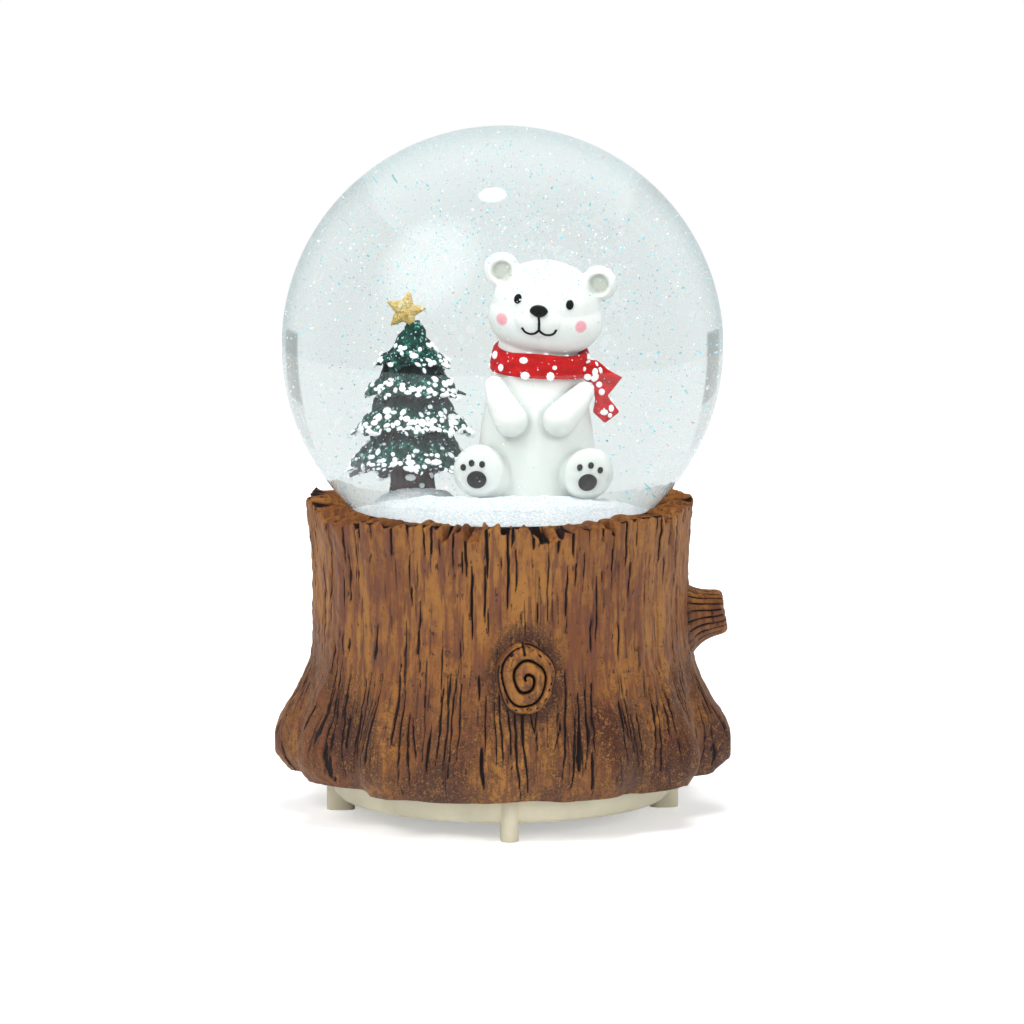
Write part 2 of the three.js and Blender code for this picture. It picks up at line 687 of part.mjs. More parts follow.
function wormSpindle() {
  const z0 = bedTopZ - 0.6;
  const half = (wormPitch * worm.turns) / 2 + 0.8;
  const spindle = turned([
    [0, z0], [worm.spindle, z0], [worm.spindle, shaftZ - half], [worm.core, shaftZ - half],
    [worm.core, shaftZ + half], [worm.spindle, shaftZ + half], [worm.spindle, worm.topZ],
    [0, worm.topZ],
  ], 10);
  const section = new THREE.Shape(boreOutline(worm.thread, 6).reverse().map(point2));
  const thread = new THREE.ExtrudeGeometry(section, {
    steps: Math.round(worm.turns * 14),
    bevelEnabled: false,
    extrudePath: new Helix(),
  }).translate(0, 0, shaftZ);
  return join(spindle, thread).translate(wormWheel.x, wormY, 0);
}

function airBrake() {
  const half = fly.span / 2;
  const vanes = block(-half, half, -fly.thickness / 2, fly.thickness / 2, fly.z, fly.z + fly.height);
  const hub = rod(1.8, fly.z, fly.z + fly.height, 12);
  const bore = rod(worm.spindle + GAP, fly.z - 1, fly.z + fly.height + 1, 8);
  return cut(join(vanes, hub), bore).translate(wormWheel.x, wormY, 0);
}

// A bent strip that stands on the bedplate and holds the spindle's top pivot.
function governorBracket() {
  const x = wormWheel.x;
  const topZ = 47.2;
  const pieces = [
    block(x - 10.2, x - 9.2, wormY - 2, wormY + 2.4, bedTopZ + GAP, topZ),
    block(x - 10.2, x + 2, wormY - 2, wormY + 2, topZ - 1.2, topZ),
  ];
  const pivot = rod(worm.spindle + GAP, topZ - 3, worm.topZ + GAP, 8).translate(x, wormY, 0);
  return cut(join(...pieces), pivot);
}

// ---- The assembly -------------------------------------------------------------------------
const snowGlobe = new THREE.Group();

function addPiece(name, geometry, material) {
  const mesh = new THREE.Mesh(geometry, material);
  mesh.name = name;
  snowGlobe.add(mesh);
  return mesh;
}

addPiece("tree_stump", treeStump(), finish.bark);
addPiece("base_plate", basePlate(), finish.cream);
baseScrewAngles.forEach((angle, i) => {
  const screw = crossScrew(baseScrew.head, 2, baseScrew.shank, baseScrew.topZ - baseScrew.headZ);
  const mesh = addPiece(`base_screw_${i + 1}`, screw, finish.steel);
  mesh.position.set(...onCircle(baseScrew.circle, angle), baseScrew.headZ);
});

addPiece("glass_globe", glassBall(), finish.glass);
addPiece("rubber_stopper", rubberStopper(), finish.rubber);
addPiece("bonding_collar", bondingCollar(), finish.plaster);
addPiece("snow_mound", snowMound(), finish.snow);
addPiece("loose_snow", looseSnow(), finish.snow);
addPiece("liquid_fill", liquidFill(), finish.liquid);

addPiece("bear_figure", bearFigure(), finish.bear);
addPiece("scarf_wrap", scarfWrap(), finish.scarf);
addPiece("scarf_tails", scarfTails(), finish.scarf);
addPiece("fir_tree", firTree(), finish.fir);
addPiece("tree_trunk", treeTrunk(), finish.trunk);
addPiece("tree_star", treeStar(), finish.star);

addPiece("winding_key", windingKey(), finish.steel);
addPiece("winding_arbor", windingArbor(), finish.steel);
addPiece("great_wheel", greatWheel(), finish.brass);
addPiece("bedplate", bedplate(), finish.zinc);
bedScrewPlaces.forEach(([x, y], i) => {
  const length = bedTopZ + bedScrew.headHeight + GAP - bedScrew.bottomZ;
  const screw = crossScrew(bedScrew.head, bedScrew.headHeight, bedScrew.shank, length);
  const mesh = addPiece(`bedplate_screw_${i + 1}`, screw.rotateX(Math.PI), finish.steel);
  mesh.position.set(x, y, bedScrew.bottomZ + length);
});
addPiece("spring_cage", springCage(), finish.zinc);
addPiece("cage_lid", cageLid(), finish.zinc);
addPiece("mainspring", mainspring(), finish.steel);

addPiece("cylinder_shaft", cylinderShaft(), finish.steel);
addPiece("cylinder_pinion", cylinderPinion(), finish.brass);
addPiece("music_cylinder", musicCylinder(), finish.brass);
addPiece("cylinder_wheel", cylinderWheel(), finish.brass);
addPiece("tone_comb", toneComb(), finish.steel);
combScrewPlaces.forEach(([x, y], i) => {
  const headTop = shaftZ + comb.thickness / 2 + GAP + 1.2;
  const screw = crossScrew(1.9, 1.2, 1, headTop - 29).rotateX(Math.PI);
  const mesh = addPiece(`comb_screw_${i + 1}`, screw, finish.steel);
  mesh.position.set(x, y, headTop);
});

addPiece("governor_shaft", governorShaft(), finish.steel);
addPiece("governor_pinion", governorPinion(), finish.brass);
addPiece("worm_wheel", wormWheelDisc(), finish.nylon);
addPiece("worm_spindle", wormSpindle(), finish.steel);
addPiece("air_brake", airBrake(), finish.nylon);
addPiece("governor_bracket", governorBracket(), finish.zinc);

export default snowGlobe;
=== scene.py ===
import math

import bmesh
import bpy
import numpy as np
from mathutils import Matrix, Vector
from mathutils.bvhtree import BVHTree


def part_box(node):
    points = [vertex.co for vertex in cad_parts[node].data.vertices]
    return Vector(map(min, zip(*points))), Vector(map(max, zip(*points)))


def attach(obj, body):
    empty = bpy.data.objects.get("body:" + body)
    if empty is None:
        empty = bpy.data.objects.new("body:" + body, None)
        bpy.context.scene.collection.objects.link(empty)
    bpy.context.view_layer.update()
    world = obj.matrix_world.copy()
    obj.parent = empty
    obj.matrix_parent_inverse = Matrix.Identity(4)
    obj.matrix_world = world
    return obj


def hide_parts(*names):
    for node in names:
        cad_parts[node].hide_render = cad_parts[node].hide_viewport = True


bl_info = {
    "name": "Tree stump snow globe",
    "version": (1, 0, 0),
    "blender": (4, 5, 0),
    "location": "View3D > Sidebar > Snow globe",
    "description": "Makes the pieces of a musical snow globe around its packed model",
    "category": "Object",
}

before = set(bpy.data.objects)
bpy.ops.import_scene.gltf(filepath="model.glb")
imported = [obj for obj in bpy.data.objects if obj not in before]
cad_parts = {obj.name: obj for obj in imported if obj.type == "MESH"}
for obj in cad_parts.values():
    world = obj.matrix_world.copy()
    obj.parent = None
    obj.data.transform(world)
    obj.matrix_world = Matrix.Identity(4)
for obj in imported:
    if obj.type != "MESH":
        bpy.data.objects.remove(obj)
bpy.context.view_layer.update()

MM = 0.001
TAU = 2 * math.pi
HOUSING = "housing"
MERGE = 1e-6  # points closer than this many metres are one


# ---- Node trees ---------------------------------------------------------------------------


class Wire:
    """A value that flows between nodes. Python's operators add the nodes that work it out."""

    def __init__(self, graph, socket):
        self.graph = graph
        self.socket = socket

    def work(self, operation, *values):
        inputs = dict(enumerate(values))
        return self.graph.node("ShaderNodeMath", {"operation": operation}, inputs)

    def __add__(self, other):
        return self.work("ADD", self, other)

    def __sub__(self, other):
        return self.work("SUBTRACT", self, other)

    def __rsub__(self, other):
        return self.work("SUBTRACT", other, self)

    def __mul__(self, other):
        return self.work("MULTIPLY", self, other)

    __radd__ = __add__
    __rmul__ = __mul__

    def least(self, other):
        return self.work("MINIMUM", self, other)

    def step(self, start, end):
        """0 before start, 1 after end, and smooth between them. It falls where end is lower."""
        settings = {"interpolation_type": "SMOOTHSTEP"}
        inputs = {"Value": self, "From Min": start, "From Max": end}
        return self.graph.node("ShaderNodeMapRange", settings, inputs, "Result")


class Graph:
    """A shader's or a geometry's node tree, with one method that adds any node."""

    def __init__(self, tree):
        self.tree = tree
        self.tree.nodes.clear()

    def node(self, kind, settings=None, inputs=None, out=0):
        """Adds a node, makes its settings, then fills its sockets. Returns one output."""
        made = self.tree.nodes.new(kind)
        for name, value in (settings or {}).items():
            if name == "stops":
                self.fill_ramp(made.color_ramp, value)
            else:
                setattr(made, name, value)
        for key, value in (inputs or {}).items():
            socket = made.inputs[key]
            if isinstance(value, Wire):
                self.tree.links.new(value.socket, socket)
            else:
                socket.default_value = value
        return Wire(self, made.outputs[out]) if len(made.outputs) else made

    def fill_ramp(self, ramp, stops):
        while len(ramp.elements) < len(stops):
            ramp.elements.new(1.0)
        for element, (place, colour) in zip(ramp.elements, stops):
            element.position = place
            element.color = (*colour, 1.0)

    # Shader helpers
    def place(self):
        return self.node("ShaderNodeTexCoord", out="Object")

    def attribute(self, name):
        return self.node("ShaderNodeAttribute", {"attribute_name": name}, out="Fac")

    def stretched(self, place, scale):
        return self.node("ShaderNodeMapping", {}, {"Vector": place, "Scale": scale})

    def noise(self, place, size, detail=3.0, roughness=0.55):
        """Cloudy noise from 0 to 1, whose features are size metres across."""
        inputs = {"Vector": place, "Scale": 1 / size, "Detail": detail, "Roughness": roughness}
        return self.node("ShaderNodeTexNoise", {}, inputs, "Fac")

    def cells(self, place, size, out="Distance"):
        """Cells that are size metres across: how far to each middle, or a colour for each."""
        return self.node("ShaderNodeTexVoronoi", {}, {"Vector": place, "Scale": 1 / size}, out)

    def mix(self, share, first, second):
        """A colour between two colours."""
        inputs = {0: share, 6: first, 7: second}
        return self.node("ShaderNodeMix", {"data_type": "RGBA"}, inputs, 2)

    def ramp(self, value, stops):
        return self.node("ShaderNodeValToRGB", {"stops": stops}, {"Fac": value}, "Color")

    def bump(self, height, distance, strength=1.0):
        inputs = {"Height": height, "Distance": distance, "Strength": strength}
        return self.node("ShaderNodeBump", {}, inputs, "Normal")

    def surface(self, inputs):
        """Ends the tree in a Principled shader with these sockets."""
        return self.output(self.node("ShaderNodeBsdfPrincipled", {}, inputs))

    def output(self, shader):
        self.node("ShaderNodeOutputMaterial", {}, {"Surface": shader})

    # Helpers for both kinds of tree
    def axes(self, vector):
        """The three numbers of a vector."""
        parts = self.node("ShaderNodeSeparateXYZ", {}, {0: vector}).socket.node
        return [Wire(self, parts.outputs[axis]) for axis in "XYZ"]

    def scaled(self, vector, factor):
        inputs = {0: vector, "Scale": factor}
        return self.node("ShaderNodeVectorMath", {"operation": "SCALE"}, inputs)

    def along(self, vector, direction):
        """How far a vector points along a direction."""
        inputs = {0: vector, 1: direction}
        return self.node("ShaderNodeVectorMath", {"operation": "DOT_PRODUCT"}, inputs, "Value")

    # Geometry helpers
    def chance(self, low, high, seed):
        """A random number for each point, or a random vector where low and high are vectors."""
        vector = isinstance(low, tuple)
        start = 0 if vector else 2
        return self.node("FunctionNodeRandomValue",
                         {"data_type": "FLOAT_VECTOR" if vector else "FLOAT"},
                         {start: low, start + 1: high, "Seed": seed}, 0 if vector else 1)

    def below(self, value, limit):
        settings = {"data_type": "FLOAT", "operation": "LESS_THAN"}
        return self.node("FunctionNodeCompare", settings, {0: value, 1: limit})

    def both(self, first, second):
        return self.node("FunctionNodeBooleanMath", {"operation": "AND"}, {0: first, 1: second})

    def without(self, points, chosen):
        """The points that are left when the chosen ones are deleted."""
        inputs = {"Geometry": points, "Selection": chosen}
        return self.node("GeometryNodeDeleteGeometry", {}, inputs)

    def tinted(self, points, seed):
        """Stores a random number from 0 to 1 on each point, as its "tint"."""
        inputs = {"Geometry": points, "Name": "tint", "Value": self.chance(0.0, 1.0, seed)}
        return self.node("GeometryNodeStoreNamedAttribute", {"data_type": "FLOAT"}, inputs)

    def flakes(self, points, size, turn, scale):
        """A thin six-sided flake at each point."""
        flake = self.node("GeometryNodeMeshCircle", {"fill_type": "NGON"},
                          {"Vertices": 6, "Radius": size})
        return self.node("GeometryNodeInstanceOnPoints", {}, {
            "Points": points, "Instance": flake, "Rotation": turn,
            "Scale": self.scaled((1, 1, 1), scale),
        })


def rgba(red, green, blue):
    """A colour in linear light from the 0 to 255 values of a paint chart."""
    def linear(value):
        share = value / 255
        return share / 12.92 if share <= 0.04045 else ((share + 0.055) / 1.055) ** 2.4

    return (linear(red), linear(green), linear(blue), 1.0)


def new_finish(name):
    material = bpy.data.materials.new(name)
    material.use_nodes = True
    return material, Graph(material.node_tree)


class GeometryRecipe:
    """A geometry node tree with named inputs, and the plain mesh that it makes."""

    def __init__(self, name, inputs):
        self.tree = bpy.data.node_groups.new(name, "GeometryNodeTree")
        self.identifiers = {}
        for label, kind in inputs.items():
            socket = self.tree.interface.new_socket(
                name=label, in_out="INPUT", socket_type=kind
            )
            self.identifiers[label] = socket.identifier
        self.tree.interface.new_socket(
            name="Geometry", in_out="OUTPUT", socket_type="NodeSocketGeometry"
        )
        self.graph = Graph(self.tree)
        self.inlet = self.tree.nodes.new("NodeGroupInput")

    def input(self, label):
        return Wire(self.graph, self.inlet.outputs[label])

    def end(self, instances, finish):
        """Ends the tree: the instances are made real and take their material."""
        real = self.graph.node("GeometryNodeRealizeInstances", {}, {0: instances})
        dressed = self.graph.node(
            "GeometryNodeSetMaterial", {}, {"Geometry": real, "Material": finish}
        )
        self.graph.node("NodeGroupOutput", {}, {0: dressed})

    def make(self, name, values, base=None):
        """Runs the tree on a scratch object and returns its result as a plain object."""
        start = base.data.copy() if base else bpy.data.meshes.new(name)
        scratch = bpy.data.objects.new(name + "_scratch", start)
        bpy.context.scene.collection.objects.link(scratch)
        modifier = scratch.modifiers.new("recipe", "NODES")
        modifier.node_group = self.tree
        for label, value in values.items():
            modifier[self.identifiers[label]] = value
        bpy.context.view_layer.update()
        graph = bpy.context.evaluated_depsgraph_get()
        mesh = bpy.data.meshes.new_from_object(scratch.evaluated_get(graph))
        bpy.data.objects.remove(scratch)
        mesh.name = name
        return link_mesh(name, mesh)


# ---- Meshes -------------------------------------------------------------------------------


def link_mesh(name, mesh):
    piece = bpy.data.objects.new(name, mesh)
    bpy.context.scene.collection.objects.link(piece)
    return piece


def mesh_piece(name, points, faces, tidy=True):
    """A new smooth object from points in millimetres and faces."""
    mesh = bpy.data.meshes.new(name)
    mesh.from_pydata((np.asarray(points) * MM).tolist(), [], np.asarray(faces).tolist())
    if tidy:
        clean(mesh)
    mesh.polygons.foreach_set("use_smooth", [True] * len(mesh.polygons))
    return link_mesh(name, mesh)


def clean(mesh):
    """Merges doubled points and turns every face outwards."""
    work = bmesh.new()
    work.from_mesh(mesh)
    bmesh.ops.remove_doubles(work, verts=work.verts, dist=MERGE)
    bmesh.ops.recalc_face_normals(work, faces=work.faces)
    work.to_mesh(mesh)
    work.free()


def grid_faces(rows, columns, round_rows=False):
    """Quads over a grid whose columns close on themselves, and its rows too if asked."""
    row, column = np.meshgrid(
        np.arange(rows if round_rows else rows - 1), np.arange(columns), indexing="ij"
    )
    below, right = (row + 1) % rows, (column + 1) % columns
    corners = [row * columns + column, row * columns + right, below * columns + right,
               below * columns + column]
    return np.stack(corners, axis=-1).reshape(-1, 4)


def turned(profile, segments):
    """Points and faces of a profile of (radius, height) turned about the Z axis."""
    profile = np.asarray(profile, float)
    angle = np.arange(segments) * TAU / segments
    radius, height = profile[:, :1], profile[:, 1:]
    points = np.stack(
        [radius * np.cos(angle), radius * np.sin(angle), height + 0 * angle], axis=-1
    )
    return points.reshape(-1, 3), grid_faces(len(profile), segments)


def arc(centre, radius, start, end, steps):
    """Points (radius, height) along a circle, with angles in degrees from the axis."""
    angle = np.radians(np.linspace(start, end, steps))
    return np.stack(
        [centre[0] + radius * np.sin(angle), centre[1] + radius * np.cos(angle)], axis=-1
    )


def ball_points(radii, centre, turn=(0, 0, 0), rings=20, segments=32):
    """Points and faces of an ellipsoid, leaned by angles in degrees."""
    profile = arc((0, 0), 1, 0, 180, rings)
    points, faces = turned(profile, segments)
    lean = Matrix.Rotation(math.radians(turn[2]), 3, "Z")
    lean = lean @ Matrix.Rotation(math.radians(turn[1]), 3, "Y")
    lean = lean @ Matrix.Rotation(math.radians(turn[0]), 3, "X")
    return (points * radii) @ np.array(lean).T + centre, faces


def gathered(*shapes):
    """Several (points, faces) as one."""
    points, faces, offset = [], [], 0
    for shape_points, shape_faces in shapes:
        points.append(shape_points)
        faces.append(np.asarray(shape_faces) + offset)
        offset += len(shape_points)
    return np.concatenate(points), np.concatenate(faces)


def apply_modifiers(piece):
    graph = bpy.context.evaluated_depsgraph_get()
    mesh = bpy.data.meshes.new_from_object(piece.evaluated_get(graph))
    piece.modifiers.clear()
    piece.data = mesh
    return piece


def melted(piece, voxel, rounds):
    """Joins overlapping shapes into one skin and softens where they meet."""
    remesh = piece.modifiers.new("skin", "REMESH")
    remesh.mode = "VOXEL"
    remesh.voxel_size = voxel * MM
    remesh.use_smooth_shade = True
    soften = piece.modifiers.new("soften", "SMOOTH")
    soften.iterations = rounds
    soften.factor = 0.5
    return apply_modifiers(piece)


def paint_attribute(piece, name, values):
    layer = piece.data.attributes.new(name, "FLOAT", "POINT")
    layer.data.foreach_set("value", np.asarray(values, np.float32))


def coordinates(mesh):
    points = np.zeros(len(mesh.vertices) * 3, np.float32)
    mesh.vertices.foreach_get("co", points)
    return points.reshape(-1, 3)


def softened_copy(name, node, width, segments=2):
    """A copy of a CAD node with merged points and softened edges."""
    piece = link_mesh(name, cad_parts[node].data.copy())
    work = bmesh.new()
    work.from_mesh(piece.data)
    bmesh.ops.remove_doubles(work, verts=work.verts, dist=MERGE)
    bmesh.ops.dissolve_limit(
        work, angle_limit=math.radians(1), verts=work.verts, edges=work.edges
    )
    work.to_mesh(piece.data)
    work.free()
    bevel = piece.modifiers.new("edges", "BEVEL")
    bevel.width = width * MM
    bevel.segments = segments
    bevel.limit_method = "ANGLE"
    bevel.angle_limit = math.radians(40)
    bevel.use_clamp_overlap = True
    apply_modifiers(piece)
    piece.data.polygons.foreach_set("use_smooth", [True] * len(piece.data.polygons))
    piece.data.set_sharp_from_angle(angle=math.radians(38))
    return piece


def dress(piece, finish):
    """Gives a piece one material."""
    piece.data.materials.clear()
    piece.data.materials.append(finish)


def install(piece, slot, *nodes, body=HOUSING):
    """Hangs a finished piece on its body, in place of CAD nodes. Its slot is not used."""
    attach(piece, body)
    if nodes:
        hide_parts(*nodes)
    return piece


class Ripple:
    """Smooth repeatable noise: a sum of waves in random directions."""

    def __init__(self, seed, size, waves=20):
        rng = np.random.default_rng(seed)
        direction = rng.normal(size=(waves, 3))
        direction /= np.linalg.norm(direction, axis=1, keepdims=True)
        self.waves = direction * TAU / size * rng.uniform(0.5, 1.5, (waves, 1))
        self.starts = rng.uniform(0, TAU, waves)

    def __call__(self, points):
        return np.cos(points @ self.waves.T + self.starts).sum(-1) / math.sqrt(len(self.starts))


def smooth(value, start, end):
    share = np.clip((value - start) / (end - start), 0, 1)
    return share * share * (3 - 2 * share)


# ---- What a user would change -------------------------------------------------------------


def length(name, description, default):
    return bpy.props.FloatProperty(
        name=name, description=description, default=default, min=0, unit="LENGTH",
        subtype="DISTANCE", precision=4,
    )


def colour(name, description, red, green, blue):
    return bpy.props.FloatVectorProperty(
        name=name, description=description, default=rgba(red, green, blue), size=4,
        subtype="COLOR", min=0, max=1,
    )


class StumpLook(bpy.types.PropertyGroup):
    """Sizes and paints of the tree-stump casting."""

    slit_width: length("Slit width", "Widest part of a slit in the bark", 0.46 * MM)
    slit_depth: length("Slit depth", "How deep the slits are cut", 0.6 * MM)
    slits: bpy.props.IntProperty(
        name="Slits", description="How many long slits there are round the bark",
        default=170, min=0, max=600,
    )
    ochre: colour("Ochre", "Lightest paint of the bark", 158, 106, 48)
    brown: colour("Brown", "Main paint of the bark", 114, 66, 33)
    # Umber is also laid as painted shade round the knot, the stub, the rim's grooves and the hollow,
    # and makes the bark darker towards the bottom.
    umber: colour("Umber", "Dark wash in hollows and low down", 54, 27, 22)
    slit_paint: colour("Slit paint", "Wash that lies in the slits", 30, 20, 19)


class GlobeLook(bpy.types.PropertyGroup):
    """Sizes and finish of the glass ball and the liquid in it."""

    wall: length("Wall", "Thickness of the glass", 2.5 * MM)
    glass_ior: bpy.props.FloatProperty(
        name="Glass index", description="Refractive index of the glass", default=1.5, min=1, max=2
    )
    liquid_ior: bpy.props.FloatProperty(
        name="Liquid index", description="Refractive index of the liquid", default=1.34, min=1,
        max=2,
    )
    flakes: bpy.props.IntProperty(
        name="Flakes", description="How many glitter flakes drift in the liquid", default=23750,
        min=0, max=40000,
    )
    flake_size: length("Flake size", "Radius of one glitter flake", 0.15 * MM)


class FigureLook(bpy.types.PropertyGroup):
    """Paints of the bear, its scarf and the fir tree."""

    fur: colour("Fur", "Gloss paint of the bear", 246, 247, 244)
    cheeks: colour("Cheeks", "Paint of the bear's cheeks", 249, 160, 176)
    scarf: colour("Scarf", "Red paint of the scarf", 204, 5, 9)
    needles: colour("Needles", "Green of the fir tree", 16, 74, 62)
    gold: colour("Gold", "Glitter of the star", 238, 194, 88)
    plinth: colour("Base plate", "Plastic of the base plate", 226, 219, 193)


class StageLook(bpy.types.PropertyGroup):
    """Camera, light and floor."""

    distance: length("Distance", "From the camera to the object", 1.6)
    elevation: bpy.props.FloatProperty(
        name="Elevation", description="Height of the camera above the horizon",
        default=math.radians(9.0), subtype="ANGLE", unit="ROTATION",
    )
    lens: bpy.props.FloatProperty(
        name="Lens", description="Focal length in millimetres", default=248, min=10
    )


# ---- Tree stump ---------------------------------------------------------------------------

# Each root: azimuth from the front in degrees, how far it swells, half its width in degrees.
ROOTS = (
    (-90, 7.4, 11), (-62, 6.2, 8.5), (-36, 4.4, 7), (-8, 1.0, 12), (33, 4.2, 7), (58, 6.2, 8),
    (84, 7.2, 10), (118, 5.0, 11), (147, 3.0, 9), (176, 1.6, 10), (-152, 3.0, 9), (-122, 5.0, 11),
)
TRUNK_HEIGHTS = (9.5, 11, 13, 17, 21, 25, 30, 35, 40, 47, 54, 61, 68, 71.3)
TRUNK_RADII = (43.2, 44.2, 44.9, 45.2, 45, 44.4, 43.7, 43, 42.5, 42.1, 42.1, 42.5, 43, 43.2)
FLARE_TOP = 44
RIM_HEIGHT = 71.3
LEFT_BULGE = 0.95
SEAT = ((39.4, 70.9), (35.3, 70.2), (33.6, 68.0), (33.0, 66.5), (33.0, 56.5), (38, 52), (38, 9.5))
KNOT = {"azimuth": 6.9, "height": 37.7, "half_width": 6.8, "half_height": 8.3}
STUB = {"height": 44.3, "start": 42.4, "lean": 81}


def apart(azimuth, centre):
    """How far apart two azimuths in degrees are, from -180 to 180."""
    return (azimuth - centre + 540) % 360 - 180


def trunk_radius(azimuth, height):
    """The bark's radius before anything is cut into it."""
    radius = np.interp(height, TRUNK_HEIGHTS, TRUNK_RADII)
    rise = smooth(FLARE_TOP - height, 0, FLARE_TOP - 15) ** 1.6
    tuck = 1 - 0.2 * smooth(15 - height, 0, 5.5)
    for centre, swell, half in ROOTS:
        lobe = np.exp(-(np.abs(apart(azimuth, centre) / half) ** 2.6))
        radius = radius + swell * rise * tuck * lobe
    bulge = smooth(height, 32, 46) + 0.5 * smooth(height, 60, RIM_HEIGHT)
    return radius + LEFT_BULGE * bulge * np.exp(-((apart(azimuth, -95) / 40) ** 2))


class Bark:
    """The bark's grid of points: azimuths in degrees across, heights up, and what is cut in."""

    columns, rows, rim_rows = 900, 80, 14

    def __init__(self, look):
        self.look = look
        self.random = np.random.default_rng(11)
        self.azimuth = np.linspace(-180, 180, self.columns, endpoint=False)
        bark = np.linspace(TRUNK_HEIGHTS[0], RIM_HEIGHT, self.rows)
        self.heights = bark
        self.cut = np.full((self.rows + self.rim_rows, self.columns), -2.0)
        self.depth = np.zeros_like(self.cut)
        self.shade = np.zeros_like(self.cut)

    def slit(self, azimuth, top, bottom, width, depth, drift=0.0, wobble=0.1, limit=1.0):
        """Cuts one slit. It tapers at both ends, and drifts sideways as it goes down."""
        inside = np.nonzero((self.heights <= top) & (self.heights >= bottom))[0]
        if len(inside) < 3:
            return
        height = self.heights[inside]
        share = (top - height) / (top - bottom)
        phase = self.random.uniform(0, TAU)
        sway = wobble * np.sin(height * 0.45 + phase) + 0.4 * wobble * np.sin(height * 1.3)
        radius = trunk_radius(azimuth, height)
        path = azimuth + drift * share ** 1.5 + np.degrees(sway / radius)
        half = width / 2 * np.clip(np.sin(math.pi * np.clip(share, 0.02, 0.98)), 0, 1) ** 0.45
        half = half * (1 + 0.12 * np.sin(height * 1.1 + phase))
        self.cut_path(inside, path, half, radius, depth, limit)

    def cut_path(self, rows, path, half, radius, depth, limit):
        step = 360 / self.columns
        reach = int(np.ceil(np.degrees(3 * half.max() / radius.min()) / step)) + 1
        middle = np.round((path + 180) / step).astype(int)
        columns = middle[:, None] + np.arange(-reach, reach + 1)[None, :]
        away = np.radians(np.abs((columns * step - 180) - path[:, None])) * radius[:, None]
        value = np.minimum(1 - away / np.maximum(half, 0.12)[:, None], limit)
        columns = columns % self.columns
        rows = np.broadcast_to(rows[:, None], columns.shape)
        self.cut[rows, columns] = np.maximum(self.cut[rows, columns], value)
        dug = depth * smooth(value, 0, 0.75)
        self.depth[rows, columns] = np.maximum(self.depth[rows, columns], dug)

    def long_slits(self):
        """Slits of all lengths between the rim and the roots."""
        width, depth = self.look.slit_width / MM, self.look.slit_depth / MM
        for _ in range(self.look.slits):
            azimuth = self.random.uniform(-180, 180)
            size = self.random.choice([4, 8, 13, 20], p=[0.2, 0.35, 0.3, 0.15])
            size *= self.random.uniform(0.75, 1.3)
            top = self.random.uniform(26, 72)
            broad = width * self.random.uniform(0.6, 1.35)
            self.slit(azimuth, top, max(top - size, 12), broad, depth * broad / width)

    def rim_slits(self):
        """Slits that start at the broken edge of the rim."""
        for azimuth in np.linspace(-180, 180, 70, endpoint=False):
            azimuth += self.random.uniform(-2.4, 2.4)
            size = self.random.choice([3, 6, 11, 18], p=[0.3, 0.35, 0.22, 0.13])
            self.slit(azimuth, 75, 71 - size, self.random.uniform(0.36, 0.74), 0.75)

    def root_bundles(self):
        """Runs of long slits, side by side, that follow each root outwards."""
        centres = sorted(root[0] for root in ROOTS)
        for k, centre in enumerate(centres):
            gaps = (apart(centres[k - 1], centre), apart(centres[(k + 1) % len(centres)], centre))
            for gap in gaps:
                for share in np.arange(0.16, 0.46, 2.3 / abs(gap)):
                    azimuth = centre + gap * share * 0.86 + self.random.uniform(-0.4, 0.4)
                    top = 41 - 16 * share + self.random.uniform(-8, 5)
                    bottom = self.random.uniform(9.5, 22)
                    broad = self.random.uniform(0.32, 0.56)
                    self.slit(azimuth, top, bottom, broad, 0.55, gap * share * 0.14, 0.12)

    def low_wedges(self):
        """Short broad slits above the bottom edge."""
        for _ in range(32):
            azimuth = self.random.uniform(-180, 180)
            top = self.random.uniform(17, 30)
            size = self.random.uniform(5, 12)
            broad = self.random.uniform(0.5, 1.15)
            self.slit(azimuth, top, top - size, broad, 0.8, self.random.uniform(-1.5, 1.5))

    def scratches(self):
        """Thin shallow lines between the slits."""
        for _ in range(420):
            azimuth = self.random.uniform(-180, 180)
            top = self.random.uniform(18, 72)
            faint = self.random.uniform(-0.1, 0.2)
            self.slit(azimuth, top, top - self.random.uniform(3, 11), 0.4, 0.12, limit=faint)

    def chipped(self, azimuth):
        """How much of the rim's edge is broken away, in millimetres."""
        splits = np.sort(self.random.uniform(-180, 180, 84))
        levels = self.random.choice([0, 0.6, 1.3, 2.1, 2.9], len(splits) + 1,
                                    p=[0.28, 0.24, 0.22, 0.16, 0.1])
        slopes = self.random.uniform(-0.14, 0.14, len(splits) + 1)
        block = np.searchsorted(splits, azimuth)
        starts = np.concatenate([[-180], splits])[block]
        return np.clip(levels[block] + slopes[block] * (azimuth - starts), 0, 3.0)

